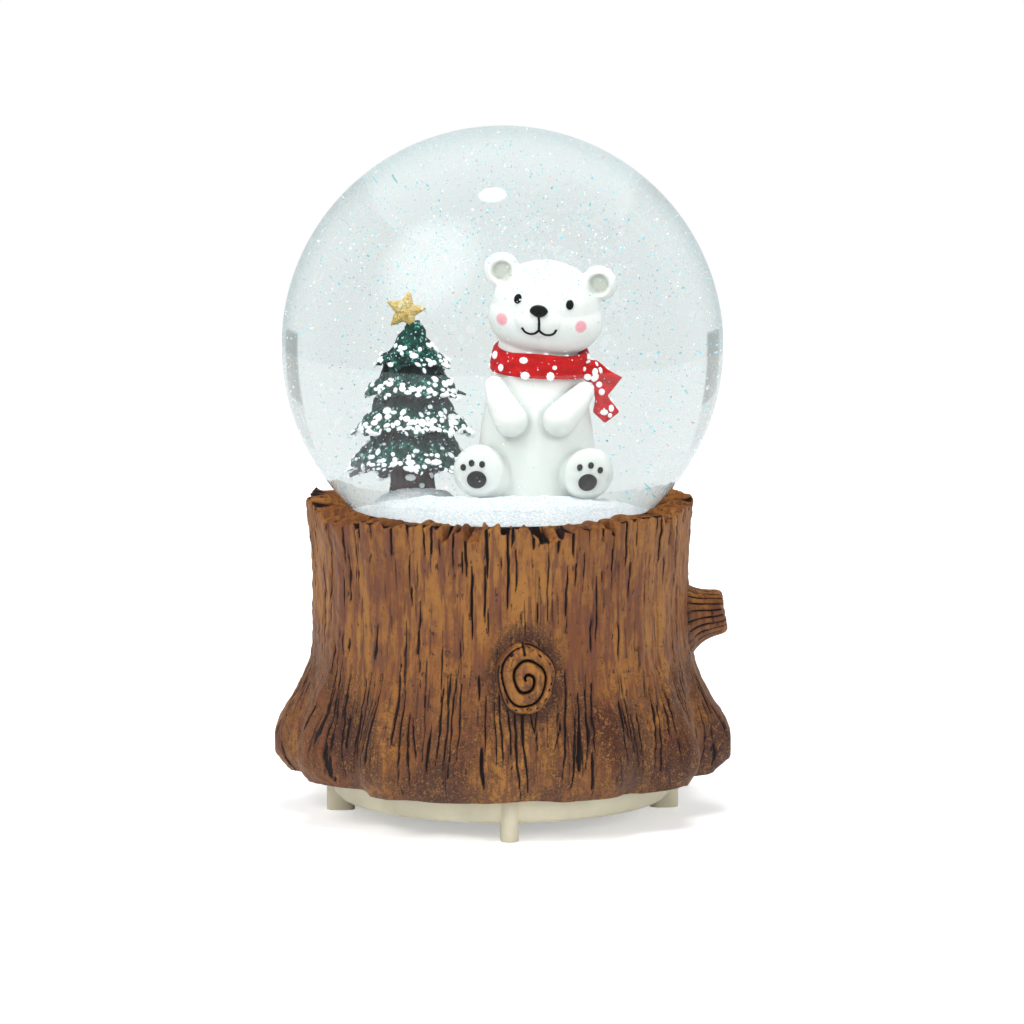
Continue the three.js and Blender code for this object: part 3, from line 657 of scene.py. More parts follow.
    def rim(self, azimuth):
        """Rows over the rim: heights and radii from the broken edge in to the glass."""
        inward = np.linspace(0, 1, self.rim_rows)[:, None]
        ragged = Ripple(5, 6)
        edge = np.stack([43 * np.sin(np.radians(azimuth)), 43 * np.cos(np.radians(azimuth)),
                         0 * azimuth], axis=-1)
        lost = self.chipped(azimuth)
        lift = 0.55 * ragged(edge) + 0.25 * Ripple(6, 1.8)(edge) - lost
        outer = trunk_radius(azimuth, np.full_like(azimuth, RIM_HEIGHT)) - 0.25 * lost - 0.35
        radius = outer + (SEAT[1][0] - outer) * inward
        height = RIM_HEIGHT + 0.25 + (SEAT[1][1] - RIM_HEIGHT) * inward
        height = height + lift * (1 - inward) ** 0.7
        points = np.stack([radius * np.sin(np.radians(azimuth)),
                           radius * np.cos(np.radians(azimuth)), 0 * radius], axis=-1)
        across = points / radius[..., None] * 30 + points * 0.06
        grain = Ripple(7, 2.1, 28)(across) + 0.6 * Ripple(8, 1.0, 28)(across)
        height = height + 1.1 * np.clip(grain, -1.6, 1.2) * np.sin(math.pi * inward) ** 0.5
        start = self.rows
        # The rim's grooves take the slit paint, and painted shade darkens the grooves and the rim
        # towards the glass.
        self.cut[start:] = np.maximum(self.cut[start:], (-grain - 0.15) * 1.8)
        self.shade[start:] = 0.1 + 0.55 * smooth(-grain, -0.4, 0.9) + 0.2 * inward
        return radius, height, lift

    def points(self):
        """Every point of the casting's skin in millimetres, row by row."""
        for work in (self.long_slits, self.rim_slits, self.root_bundles, self.low_wedges,
                     self.scratches):
            work()
        azimuth, height = np.meshgrid(self.azimuth, self.heights)
        radius = trunk_radius(azimuth, height)
        rim_radius, rim_height, lift = self.rim(self.azimuth)
        height = height + lift * smooth(height, 60, RIM_HEIGHT)
        low_edge = Ripple(9, 14)(self.around(azimuth, 0 * radius + 45))
        height = height + (0.25 + 0.3 * low_edge) * smooth(14 - height, 0, 4.5)
        place = self.around(azimuth, radius, height)
        stretched = place * (1, 1, 0.16)
        ribs = 0.3 * Ripple(12, 9)(stretched) + 0.1 * Ripple(13, 3.2, 28)(stretched)
        pits = 0.1 * Ripple(14, 2.4, 28)(place)
        edge = 1 - smooth(height, RIM_HEIGHT - 2.5, RIM_HEIGHT + 0.4)
        reach = ribs * (0.35 + 0.65 * edge) + pits
        reach = reach - self.depth[: self.rows] + 0.06 * self.lips()
        radius = np.minimum(radius + reach, self.limit(azimuth))
        bark = self.around(azimuth, radius, height)
        rim = self.around(self.azimuth, rim_radius, rim_height)
        self.paint_bark(azimuth, height, place)
        return np.concatenate([bark, rim, self.inside()])

    def lips(self):
        """The bark stands up a little along both sides of a slit."""
        cut = self.cut[: self.rows]
        return smooth(cut, -1.1, -0.3) * smooth(-cut, 0, 0.3)

    def limit(self, azimuth):
        """The casting stays inside its packed size."""
        low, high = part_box("tree_stump")
        sine = np.maximum(np.abs(np.sin(np.radians(azimuth))), 1e-3)
        cosine = np.maximum(np.abs(np.cos(np.radians(azimuth))), 1e-3)
        return np.minimum(high.x / MM / sine, -low.y / MM / cosine) - 0.05

    def around(self, azimuth, radius, height=0):
        turn = np.radians(azimuth)
        flat = np.broadcast_to(height, np.broadcast_shapes(np.shape(radius), turn.shape))
        return np.stack([radius * np.sin(turn), -radius * np.cos(turn), flat], axis=-1)

    def inside(self):
        """The seat, the neck's socket and the hollow, back to the bottom edge."""
        rows = [self.around(self.azimuth, 0 * self.azimuth + radius, height)
                for radius, height in SEAT[2:]]
        return np.stack(rows)

    def paint_bark(self, azimuth, height, place):
        """Where the bark is painted darker: painted shade round the knot and the stub, and darker
        towards the bottom in blotches.
        """
        across = np.radians(apart(azimuth, KNOT["azimuth"])) * 44
        round_knot = np.hypot(across / KNOT["half_width"],
                              (height - KNOT["height"]) / KNOT["half_height"])
        dark = 0.95 * np.exp(-((np.maximum(round_knot - 0.95, 0) / 0.6) ** 2))
        across = np.radians(apart(azimuth, 90)) * 44
        dark = np.maximum(dark, 0.8 * np.exp(-((np.hypot(across, height - 44) / 9.5) ** 2)))
        blotch = smooth(Ripple(15, 17)(place * (1, 1, 0.5)), -0.5, 1.2)
        low = smooth(50 - height, 0, 24) * (0.55 + 0.45 * blotch)
        dark = np.maximum(dark, 0.92 * low)
        self.shade[: self.rows] = dark


def stump_skin(look):
    """The bark, rim and hollow as one closed grid."""
    bark = Bark(look)
    points = bark.points()
    rows = points.shape[0]
    extra = rows - bark.cut.shape[0]
    cut = np.concatenate([bark.cut, np.full((extra, bark.columns), -2.0)])
    # Painted shade: the seat and the hollow inside are painted darker.
    shade = np.concatenate([bark.shade, np.full((extra, bark.columns), 0.8)])
    faces = grid_faces(rows, bark.columns, round_rows=True)
    return points.reshape(-1, 3), faces, cut.ravel(), shade.ravel()


def knot_boss():
    """The oval knot: a ringed boss with a spiral cut into its face."""
    across, rings = 112, 46
    turn = np.arange(across) * TAU / across
    shares = np.append(np.linspace(0, 1, rings - 1), 0)
    share, turn = np.meshgrid(shares, turn, indexing="ij")
    pitch = 0.38
    phase = ((share - 0.23) / pitch + turn / TAU) % 1
    coil = smooth(0.88 - share, 0, 0.03)
    broad = 0.045 - 0.016 * smooth(share, 0.3, 0.7)
    cut = np.where(coil > 0, 1 - np.minimum(phase, 1 - phase) * pitch / broad, -2.0)
    hem = 1 - np.abs(share - 0.93 - 0.012 * np.sin(2 * turn)) / 0.022
    hem = np.where(np.sin(2 * turn + 0.4) > -0.4, hem, -2)
    dashes = np.where(np.sin(turn * 23 + 3 * np.sin(turn * 4)) > 0.45,
                      1 - np.abs(share - 0.83 - 0.03 * np.sin(5 * turn)) / 0.024, -2)
    split = 1 - np.abs((turn - math.pi / 2 - 0.1)) * share / 0.04
    split = np.where(share > 0.62, split, -2)
    cut = np.maximum.reduce([cut, hem, dashes, split])
    dome = np.interp(share, [0, 0.2, 0.4, 0.6, 0.66, 0.74, 0.84, 0.92, 0.97, 1],
                     [3.3, 3.2, 3.0, 2.6, 2.5, 2.4, 2.1, 1.5, 0.4, -1.6])
    dome[-1] = -3
    wavy = 1 + 0.03 * np.sin(3 * turn + 1) + 0.02 * np.sin(5 * turn)
    across_mm = KNOT["half_width"] * share * np.cos(turn) * wavy
    up_mm = KNOT["half_height"] * share * np.sin(turn) * wavy
    rounded = 1.1 * (np.sin(math.pi * phase) ** 0.7 - 0.6) * coil
    proud = dome + rounded + 0.12 * np.sin(9 * turn) * share - 0.5 * smooth(cut, -0.3, 0.7)
    azimuth = math.radians(KNOT["azimuth"])
    radius = trunk_radius(KNOT["azimuth"], KNOT["height"] + up_mm) - 0.1 + proud
    inner = radius * math.sin(azimuth) + across_mm * math.cos(azimuth)
    front = -radius * math.cos(azimuth) + across_mm * math.sin(azimuth)
    points = np.stack([inner, front, KNOT["height"] + up_mm], axis=-1)
    # Painted shade: the knot is painted a little darker all over, and darker still at its hem where
    # it meets the bark.
    shade = 0.3 + 0.5 * smooth(share, 0.9, 1.0)
    faces = grid_faces(rings, across)
    return points.reshape(-1, 3), faces, cut.ravel(), shade.ravel()


def branch_stub():
    """The sawn-off branch: a fluted stub with a flat end, grooved along its length."""
    across = 96
    along = np.array([-5, -5, -3, -1, 0, 0.8, 1.6, 2.4, 3.2, 4, 4.8, 5.6, 6.4, 7.0, 7.5, 7.9, 8.0,
                      7.9, 7.8, 7.8])
    radius = np.array([0, 10.6, 9.9, 8.9, 8.0, 7.3, 6.7, 6.25, 5.9, 5.65, 5.45, 5.3, 5.2, 5.05,
                       4.85, 4.4, 3.6, 2.6, 1.3, 0.0])
    turn = np.arange(across) * TAU / across
    along, turn = np.meshgrid(along, turn, indexing="ij")
    radius = np.broadcast_to(radius[:, None], along.shape)
    flutes = 24
    wander = 0.25 * np.sin(along * 0.7) + 0.5 * np.sin(2 * turn)
    wave = np.abs(((turn * flutes / TAU + wander * 0.35) % 1) - 0.5)
    cut = 1 - (0.5 - wave) / 0.13
    cut = np.where(radius < 1.2, -1, cut)
    radius = radius - 0.6 * smooth(cut, 0, 0.8) * smooth(radius, 0.8, 2.5)
    along = along + 0.3 * np.sin(5 * turn + 1) * smooth(along, 3, 8)
    points = np.stack([radius * np.cos(turn), radius * np.sin(turn), along], axis=-1)
    lean = np.array(Matrix.Rotation(math.radians(STUB["lean"]), 3, "Y"))
    points = points.reshape(-1, 3) @ lean.T + (STUB["start"], 0, STUB["height"])
    # Painted shade: the stub is painted darker towards where it meets the trunk.
    shade = 0.15 + 0.6 * smooth(3 - along, 0, 4)
    return points, grid_faces(along.shape[0], across), cut.ravel(), shade.ravel()


def bark_finish(look):
    """Ochre and brown paint over cast resin, with a dark wash in the slits, painted shade round the
    knot, the stub and in the rim's grooves, and darker towards the bottom.
    """
    material, g = new_finish("painted_bark")
    place = g.place()
    cut, shade = g.attribute("cut"), g.attribute("shade")
    upright = g.stretched(place, (1, 1, 0.11))
    broad = g.noise(g.stretched(place, (1, 1, 0.4)), 13 * MM, 3)
    streaks = g.noise(upright, 1.3 * MM, 3, 0.6)
    fine = g.noise(upright, 0.6 * MM, 2)
    mottle = g.noise(place, 2.6 * MM, 5, 0.75)
    grit = g.noise(place, 0.5 * MM, 3, 0.65)
    warm = (broad * 0.75 + streaks * 0.3 + mottle * 0.45).step(0.58, 0.9)
    paint = g.mix(warm, tuple(look.brown), tuple(look.ochre))
    paint = g.mix((streaks + fine * 0.3).step(0.7, 0.52) * 0.75, paint, rgba(102, 58, 42))
    # Painted shade: umber where the shade value is high, round the knot, the stub and the rim's
    # grooves, and darker towards the bottom, broken up by mottling.
    shade_and_mottle = (shade + (mottle - 0.5) * 2.4 + (grit - 0.5) * 1.5).step(0.3, 0.74)
    paint = g.mix(shade_and_mottle * 0.9, paint, tuple(look.umber))
    worn = (mottle + (grit - 0.5) * 1.2).step(0.48, 0.78) * shade.step(0.1, 0.6)
    paint = g.mix(worn * 0.7, paint, rgba(160, 108, 54))
    flecks = g.noise(place, 0.5 * MM, 4, 0.75)
    paint = g.mix(flecks.step(0.62, 0.76) * (0.1 + shade * 0.25), paint, rgba(190, 138, 80))
    dots = flecks.step(0.36, 0.3) * 0.7
    paint = g.mix(dots, paint, rgba(58, 30, 26))
    pits = (g.noise(g.stretched(place, (1, 1, 0.35)), 0.8 * MM, 2)).step(0.66, 0.71)
    paint = g.mix(pits * 0.8, paint, tuple(look.slit_paint))
    rough_edge = cut + (grit - 0.5) * 0.3
    near = rough_edge.step(-0.8, 0.1)
    paint = g.mix(near * 0.5, paint, tuple(look.umber))
    slits = rough_edge.step(-0.02, 0.24)
    paint = g.mix(slits, paint, tuple(look.slit_paint))
    height = fine * 0.35 + grit * 0.25 + streaks * 0.5 + mottle * 0.4 - pits * 0.6
    height = height - slits * 1.2
    g.surface({
        "Base Color": paint,
        "Roughness": 0.5 + mottle * 0.2 + slits * 0.2,
        "Specular IOR Level": 0.42,
        "Normal": g.bump(height, 0.28 * MM, 0.8),
    })
    return material


class SNOWGLOBE_OT_stump(bpy.types.Operator):
    """Makes the tree-stump casting with its bark, rim, knot and branch stub"""

    bl_idname = "snowglobe.stump"
    bl_label = "Tree stump"

    def execute(self, context):
        look = context.scene.snowglobe_stump
        parts = [stump_skin(look), knot_boss(), branch_stub()]
        points, faces = gathered(*[(part[0], part[1]) for part in parts])
        stump = mesh_piece("stump_casting", points, faces, tidy=False)
        paint_attribute(stump, "cut", np.concatenate([part[2] for part in parts]))
        paint_attribute(stump, "shade", np.concatenate([part[3] for part in parts]))
        clean(stump.data)
        dress(stump, bark_finish(look))
        install(stump, "bark_resin", "tree_stump")
        return {"FINISHED"}


# ---- Base plate, screws and key -----------------------------------------------------------


def plastic_finish(name, paint, grain=0.5):
    """Moulded plastic: faint mottling, a fine moulded grain and a little dust in specks."""
    material, g = new_finish(name)
    place = g.place()
    cloud = g.noise(place, 9 * MM, 4)
    grain_height = g.noise(place, 0.35 * MM, 2)
    darker = tuple(0.82 * c for c in paint[:3]) + (1.0,)
    tint = g.mix(cloud.step(0.35, 0.7) * 0.6, tuple(paint), darker)
    dots = g.noise(place, 1.1 * MM, 2).step(0.74, 0.78)
    tint = g.mix(dots * 0.35, tint, rgba(120, 108, 84))
    g.surface({
        "Base Color": tint,
        "Roughness": 0.42 + cloud * 0.16,
        "Specular IOR Level": 0.45,
        "Normal": g.bump(grain_height + cloud * 0.5, 0.05 * MM, grain),
    })
    return material


def metal_finish(name, paint, roughness=0.3, scratches=0.5, stretch=(1, 1, 0.2), dull=0.15):
    """Turned, rolled or die-cast metal: brushed lines, scratches and dull patches."""
    material, g = new_finish(name)
    place = g.place()
    lines = g.noise(g.stretched(place, stretch), 0.35 * MM, 3, 0.6)
    patches = g.noise(place, 4 * MM, 4, 0.6)
    darker = tuple(c * 0.62 for c in paint[:3]) + (1.0,)
    tint = g.mix(patches.step(0.42, 0.75), tuple(paint), darker)
    g.surface({
        "Base Color": tint,
        "Metallic": 0.96 - patches.step(0.5, 0.8) * dull,
        "Roughness": roughness + patches * 0.18 + lines * 0.12,
        "Normal": g.bump(lines + patches * 0.4, 0.03 * MM, scratches),
    })
    return material


class SNOWGLOBE_OT_base_plate(bpy.types.Operator):
    """Makes the cream base plate with softened edges and feet"""

    bl_idname = "snowglobe.base_plate"
    bl_label = "Base plate"

    def execute(self, context):
        plate = softened_copy("base_plate_moulding", "base_plate", 0.45, 3)
        dress(plate, plastic_finish("cream_plastic", context.scene.snowglobe_figures.plinth))
        install(plate, "cream_plastic", "base_plate")
        return {"FINISHED"}


def screw_recipe():
    """Copies of one screw, each on its own point and turned by its own amount."""
    recipe = GeometryRecipe("screws", {
        "Places": "NodeSocketGeometry",
        "Screw": "NodeSocketObject",
        "Turn": "NodeSocketFloat",
        "Seed": "NodeSocketInt",
        "Finish": "NodeSocketMaterial",
    })
    g = recipe.graph
    screw = g.node("GeometryNodeObjectInfo", {}, {"Object": recipe.input("Screw")}, "Geometry")
    turn = g.chance(0.0, recipe.input("Turn"), recipe.input("Seed"))
    spin = g.node("ShaderNodeCombineXYZ", {}, {"Z": turn})
    copies = g.node("GeometryNodeInstanceOnPoints", {}, {
        "Points": recipe.input("Places"), "Instance": screw, "Rotation": spin,
    })
    recipe.end(copies, recipe.input("Finish"))
    return recipe


def node_centre(node):
    low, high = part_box(node)
    return (low + high) / 2


class SNOWGLOBE_OT_screws(bpy.types.Operator):
    """Makes the four screws that hold the base plate"""

    bl_idname = "snowglobe.screws"
    bl_label = "Base screws"

    def execute(self, context):
        nodes = [f"base_screw_{k + 1}" for k in range(4)]
        pattern = softened_copy("screw_pattern", nodes[0], 0.22, 2)
        middle = node_centre(nodes[0])
        pattern.data.transform(Matrix.Translation(-middle))
        places = bpy.data.meshes.new("screw_places")
        places.from_pydata([node_centre(node) for node in nodes], [], [])
        holder = link_mesh("screw_places", places)
        steel = metal_finish("plated_steel", rgba(196, 197, 200), 0.26)
        screws = screw_recipe().make(
            "base_screws", {"Screw": pattern, "Turn": 1.4, "Seed": 3, "Finish": steel}, holder
        )
        bpy.data.objects.remove(pattern)
        bpy.data.objects.remove(holder)
        install(screws, "steel", *nodes)
        return {"FINISHED"}


class SNOWGLOBE_OT_key(bpy.types.Operator):
    """Makes the winding key with softened edges"""

    bl_idname = "snowglobe.key"
    bl_label = "Winding key"

    def execute(self, context):
        key = softened_copy("winding_key_casting", "winding_key", 0.3, 3)
        dress(key, metal_finish("key_nickel", rgba(205, 203, 198), 0.24, 0.7))
        install(key, "steel", "winding_key", body="key")
        return {"FINISHED"}


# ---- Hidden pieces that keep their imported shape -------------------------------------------


def rubber_finish():
    material, g = new_finish("black_rubber")
    place = g.place()
    bloom = g.noise(place, 5 * MM, 4)
    g.surface({
        "Base Color": g.mix(bloom.step(0.4, 0.8), rgba(34, 33, 32), rgba(62, 60, 58)),
        "Roughness": 0.72 + bloom * 0.2,
        "Normal": g.bump(g.noise(place, 0.4 * MM, 3), 0.06 * MM),
    })
    return material


def adhesive_finish():
    material, g = new_finish("set_adhesive")
    place = g.place()
    lumps = g.noise(place, 2.2 * MM, 4)
    g.surface({
        "Base Color": g.mix(lumps, rgba(214, 206, 186), rgba(184, 172, 146)),
        "Roughness": 0.55 + lumps * 0.3,
        "Normal": g.bump(lumps, 0.4 * MM),
    })
    return material


def carried_over():
    """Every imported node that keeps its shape, with the finish it takes."""
    steel = metal_finish("turned_steel", rgba(190, 191, 194), 0.24, 0.4, (0.15, 1, 1))
    spring = metal_finish("blued_spring_steel", rgba(98, 104, 116), 0.3, 0.4, (1, 1, 0.3))
    comb = metal_finish("ground_comb_steel", rgba(168, 170, 174), 0.34, 0.8, (1, 0.12, 1))
    zinc = metal_finish("die_cast_zinc", rgba(158, 160, 163), 0.46, 0.8, (1, 1, 1), 0.25)
    brass = metal_finish("machined_brass", rgba(206, 168, 92), 0.25, 0.5, (0.2, 1, 1))
    nylon = plastic_finish("natural_nylon", rgba(232, 228, 214), 0.4)
    screws = metal_finish("small_screw_steel", rgba(176, 176, 180), 0.28, 0.5)
    finishes = {
        steel: ["winding_arbor", "cylinder_shaft", "governor_shaft", "worm_spindle"],
        spring: ["mainspring"],
        comb: ["tone_comb"],
        zinc: ["bedplate", "spring_cage", "cage_lid", "governor_bracket"],
        brass: ["great_wheel", "cylinder_pinion", "music_cylinder", "cylinder_wheel",
                "governor_pinion"],
        nylon: ["worm_wheel", "air_brake"],
        screws: ["bedplate_screw_1", "bedplate_screw_2", "bedplate_screw_3", "comb_screw_1",
                 "comb_screw_2"],
        rubber_finish(): ["rubber_stopper"],
        adhesive_finish(): ["bonding_collar"],
    }
    return [(node, finish) for finish, nodes in finishes.items() for node in nodes]


class SNOWGLOBE_OT_movement(bpy.types.Operator):
    """Gives the movement, the stopper and the adhesive their finishes"""

    bl_idname = "snowglobe.movement"
    bl_label = "Movement and stopper"

    def execute(self, context):
        for node, finish in carried_over():
            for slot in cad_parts[node].material_slots:
                slot.material = finish
        return {"FINISHED"}


# ---- Glass, liquid and glitter ------------------------------------------------------------

BALL_LOW, BALL_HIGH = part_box("glass_globe")  # in metres; all the numbers below in millimetres
BALL_RADIUS = (BALL_HIGH.x - BALL_LOW.x) / 2 / MM
BALL_HEIGHT = BALL_HIGH.z / MM - BALL_RADIUS
NECK_BOTTOM = BALL_LOW.z / MM
NECK_RADIUS = 30.0
LIQUID_OVERLAP = 0.12  # how far the liquid's skin lies inside the glass
LIQUID_FLOOR = (26.9, 66.0)  # radius and height of the liquid's flat bottom
FLAKES_CLEAR = 2.5  # how far the flakes keep from the inner wall
LOOSE_SNOW_CLEAR = 0.35  # how far the loose snow keeps from the inner wall
OUTER_MIRROR = 0.3  # the mirror level of the ball's outside, where plain glass has 0.5


def clear_finish(name, tint, ior, mirror):
    """A clear solid that bends light, and lets the lamps' light straight through."""
    material, g = new_finish(name)
    clear = g.node("ShaderNodeBsdfPrincipled", {}, {
        "Base Color": tint,
        "Roughness": 0.0,
        "IOR": ior,
        "Specular IOR Level": mirror,
        "Transmission Weight": 1.0,
    })
    straight = g.node("ShaderNodeBsdfTransparent", {}, {"Color": (1, 1, 1, 1)})
    shadow = g.node("ShaderNodeLightPath", out="Is Shadow Ray")
    g.output(g.node("ShaderNodeMixShader", {}, {0: shadow, 1: clear, 2: straight}))
    return material


def globe_profile(wall):
    """The blown ball with its neck: outside down, round the neck's lip, and inside up."""
    middle = (0, BALL_HEIGHT)
    inner = BALL_RADIUS - wall
    neck_inner = NECK_RADIUS - wall + 0.1
    outer_end = 180 - math.degrees(math.asin(NECK_RADIUS / BALL_RADIUS))
    inner_end = 180 - math.degrees(math.asin(neck_inner / inner))
    outside = arc(middle, BALL_RADIUS, 0, outer_end, 72)
    lip = [(NECK_RADIUS, NECK_BOTTOM + 0.8), (NECK_RADIUS - 0.8, NECK_BOTTOM),
           (neck_inner + 0.6, NECK_BOTTOM), (neck_inner, NECK_BOTTOM + 0.6)]
    inside = arc(middle, inner, inner_end, 0, 64)
    return np.concatenate([outside, lip, inside])


SNOW_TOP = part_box("snow_mound")[1].z / MM
SNOW_RIM = 71.2
FIR_AXIS = (-14.6, 5.0)  # x and y of the fir's trunk
HEAP = {"height": 2.1, "reach": 9.5, "slope": 5}  # snow piled round the trunk


def snow_height(radius):
    """Height of the snow's surface at a distance from the axis."""
    return np.interp(radius, [0, 12, 17, 21, 25, 28, 30, 31.8, 40],
                     [SNOW_TOP, SNOW_TOP - 0.05, SNOW_TOP - 0.35, SNOW_TOP - 1.3,
                      SNOW_TOP - 3.1, SNOW_TOP - 5.0, SNOW_RIM + 2.2, SNOW_RIM + 0.2, SNOW_RIM])


class SNOWGLOBE_OT_glass(bpy.types.Operator):
    """Makes the glass ball with its neck, and the liquid that fills it"""

    bl_idname = "snowglobe.glass"
    bl_label = "Glass ball and liquid"

    def execute(self, context):
        look = context.scene.snowglobe_globe
        wall = look.wall / MM
        glass = mesh_piece("glass_ball", *turned(globe_profile(wall), 144))
        tint = (0.985, 0.995, 0.993, 1)
        dress(glass, clear_finish("clear_glass", tint, look.glass_ior, OUTER_MIRROR))
        glass.data.materials.append(clear_finish("wetted_glass", tint, look.glass_ior, 0.0))
        middle = Vector((0, 0, BALL_HEIGHT)) * MM
        for face in glass.data.polygons:
            face.material_index = int(face.normal.dot(face.center - middle) < 0)
        install(glass, "glass", "glass_globe")
        liquid = mesh_piece("clear_liquid", *turned(self.liquid_profile(wall), 144))
        dress(liquid, clear_finish("clear_liquid", (0.965, 0.985, 0.98, 1), look.liquid_ior, 0.0))
        install(liquid, "liquid", "liquid_fill")
        return {"FINISHED"}

    def liquid_profile(self, wall):
        """The liquid's skin lies just inside the glass's inner face, so that no air shows."""
        radius = BALL_RADIUS - wall + LIQUID_OVERLAP
        end = 180 - math.degrees(math.asin((NECK_RADIUS - wall) / radius))
        ball = arc((0, BALL_HEIGHT), radius, 0, end, 72)
        return np.concatenate([ball, [LIQUID_FLOOR, (0, LIQUID_FLOOR[1])]])


# Where flakes would hide the figures, this share of them is taken away.
HIDING_DEPTH, HIDING_HEIGHT, HIDING_SHARE = 2 * MM, 42 * MM, 0.82


def thinned(g, points, floor, seed):
    """Takes away most of the flakes that drift low down in the front of the ball."""
    _, depth, height = g.axes(g.node("GeometryNodeInputPosition", {}))
    hiding = g.both(g.below(depth, HIDING_DEPTH), g.below(height - floor, HIDING_HEIGHT))
    return g.without(points, g.both(hiding, g.below(g.chance(0.0, 1.0, seed), HIDING_SHARE)))


def drift_recipe():
    """Glitter flakes at random places in a ball, each turned its own way and tinted."""
    recipe = GeometryRecipe("drifting_glitter", {
        "Count": "NodeSocketInt",
        "Radius": "NodeSocketFloat",
        "Centre": "NodeSocketVector",
        "Flake size": "NodeSocketFloat",
        "Floor": "NodeSocketFloat",
        "Seed": "NodeSocketInt",
        "Finish": "NodeSocketMaterial",
    })
    g = recipe.graph
    seed, floor = recipe.input("Seed"), recipe.input("Floor")
    spread = g.chance((-1, -1, -1), (1, 1, 1), seed)
    reach = g.node("ShaderNodeVectorMath", {"operation": "LENGTH"}, {0: spread}, "Value")
    place = g.node("ShaderNodeVectorMath", {"operation": "ADD"},
                   {0: g.scaled(spread, recipe.input("Radius")), 1: recipe.input("Centre")})
    points = g.node("GeometryNodePoints", {},
                    {"Count": recipe.input("Count"), "Position": place})
    points = g.tinted(points, seed + 7)
    points = g.without(points, g.below(1.0, reach))
    height = g.axes(g.node("GeometryNodeInputPosition", {}))[2]
    points = g.without(points, g.below(height, floor))
    points = thinned(g, points, floor, seed + 9)
    turn = g.chance((0, 0, 0), (TAU, TAU, TAU), seed + 3)
    size = g.chance(0.6, 1.35, seed + 5)
    recipe.end(g.flakes(points, recipe.input("Flake size"), turn, size), recipe.input("Finish"))
    return recipe


def flake_finish():
    """Thin glitter: pale blue, white and a little pink, with a glow in its own colour that is painted
    light.
    """
    material, g = new_finish("glitter_flakes")
    tint = g.attribute("tint")
    colour_of = g.ramp(tint, [(0.0, rgba(132, 206, 222)[:3]), (0.58, rgba(168, 224, 234)[:3]),
                              (0.64, rgba(244, 248, 250)[:3]), (0.95, rgba(250, 252, 252)[:3]),
                              (0.97, rgba(246, 178, 196)[:3])])
    g.surface({
        "Base Color": colour_of,
        "Roughness": 0.25 + g.noise(g.place(), 0.3 * MM, 2) * 0.2,
        "Metallic": tint.step(0.2, 0.6) * 0.25,
        "Specular IOR Level": 0.8,
        # Painted light: the flakes glow in their own colour, so that none look dark from their shaded
        # side.
        "Emission Color": colour_of,
        "Emission Strength": 0.3,
    })
    return material


class SNOWGLOBE_OT_glitter(bpy.types.Operator):
    """Makes the glitter flakes that drift in the liquid"""

    bl_idname = "snowglobe.glitter"
    bl_label = "Drifting glitter"

    def execute(self, context):
        look = context.scene.snowglobe_globe
        reach = BALL_RADIUS - look.wall / MM - FLAKES_CLEAR
        flakes = drift_recipe().make("drifting_glitter", {
            "Count": look.flakes,
            "Radius": reach * MM,
            "Centre": (0.0, 0.0, BALL_HEIGHT * MM),
            "Flake size": look.flake_size,
            "Floor": (SNOW_TOP - 3) * MM,
            "Seed": 21,
            "Finish": flake_finish(),
        })
        install(flakes, "snow")
        return {"FINISHED"}


# ---- Snow ---------------------------------------------------------------------------------


def snow_finish():
    """Packed white granules that glint, with painted shade that makes them faintly blue in the
    hollows between them, and a faint glow that is painted light.
    """
    material, g = new_finish("granular_snow")
    place = g.place()
    grains = g.cells(place, 0.55 * MM)
    fine = g.noise(place, 0.3 * MM, 2, 0.7)
    cloud = g.noise(place, 6 * MM, 3)
    # Painted shade: blue-grey where the granules dip.
    tint = g.mix((grains * 1.4 - fine * 0.5).step(0.15, 0.75), rgba(254, 254, 254),
                 rgba(222, 231, 237))
    tint = g.mix(g.noise(place, 0.8 * MM, 1).step(0.7, 0.74) * 0.55, tint, rgba(160, 216, 232))
    g.surface({
        "Base Color": tint,
        "Roughness": 0.45 + cloud * 0.2,
        "Specular IOR Level": 0.6,
        "Subsurface Weight": 0.7,
        "Subsurface Radius": (1.0, 1.0, 1.0),
        "Subsurface Scale": 2.5 * MM,
        # Painted light: a faint glow keeps the snow's shaded sides pale.
        "Emission Color": rgba(240, 247, 252),
        "Emission Strength": 0.12,
        "Normal": g.bump(fine - grains, 0.22 * MM, 0.9),
    })
    return material


def rippled_snow(profile, seed):
    """A turned profile with its upper side roughened into drifts."""
    points, faces = turned(profile, 128)
    radius = np.hypot(points[:, 0], points[:, 1])
    on_top = np.abs(points[:, 2] - snow_height(radius)) < 0.02
    drift = 0.22 * Ripple(seed, 9)(points) + 0.12 * Ripple(seed + 1, 2.2)(points)
    from_trunk = np.hypot(points[:, 0] - FIR_AXIS[0], points[:, 1] - FIR_AXIS[1])
    heap = HEAP["height"] * smooth(HEAP["reach"] - from_trunk, 0, HEAP["slope"])
    points[:, 2] += np.where(on_top, drift - 0.25 + heap, 0)
    return points, faces


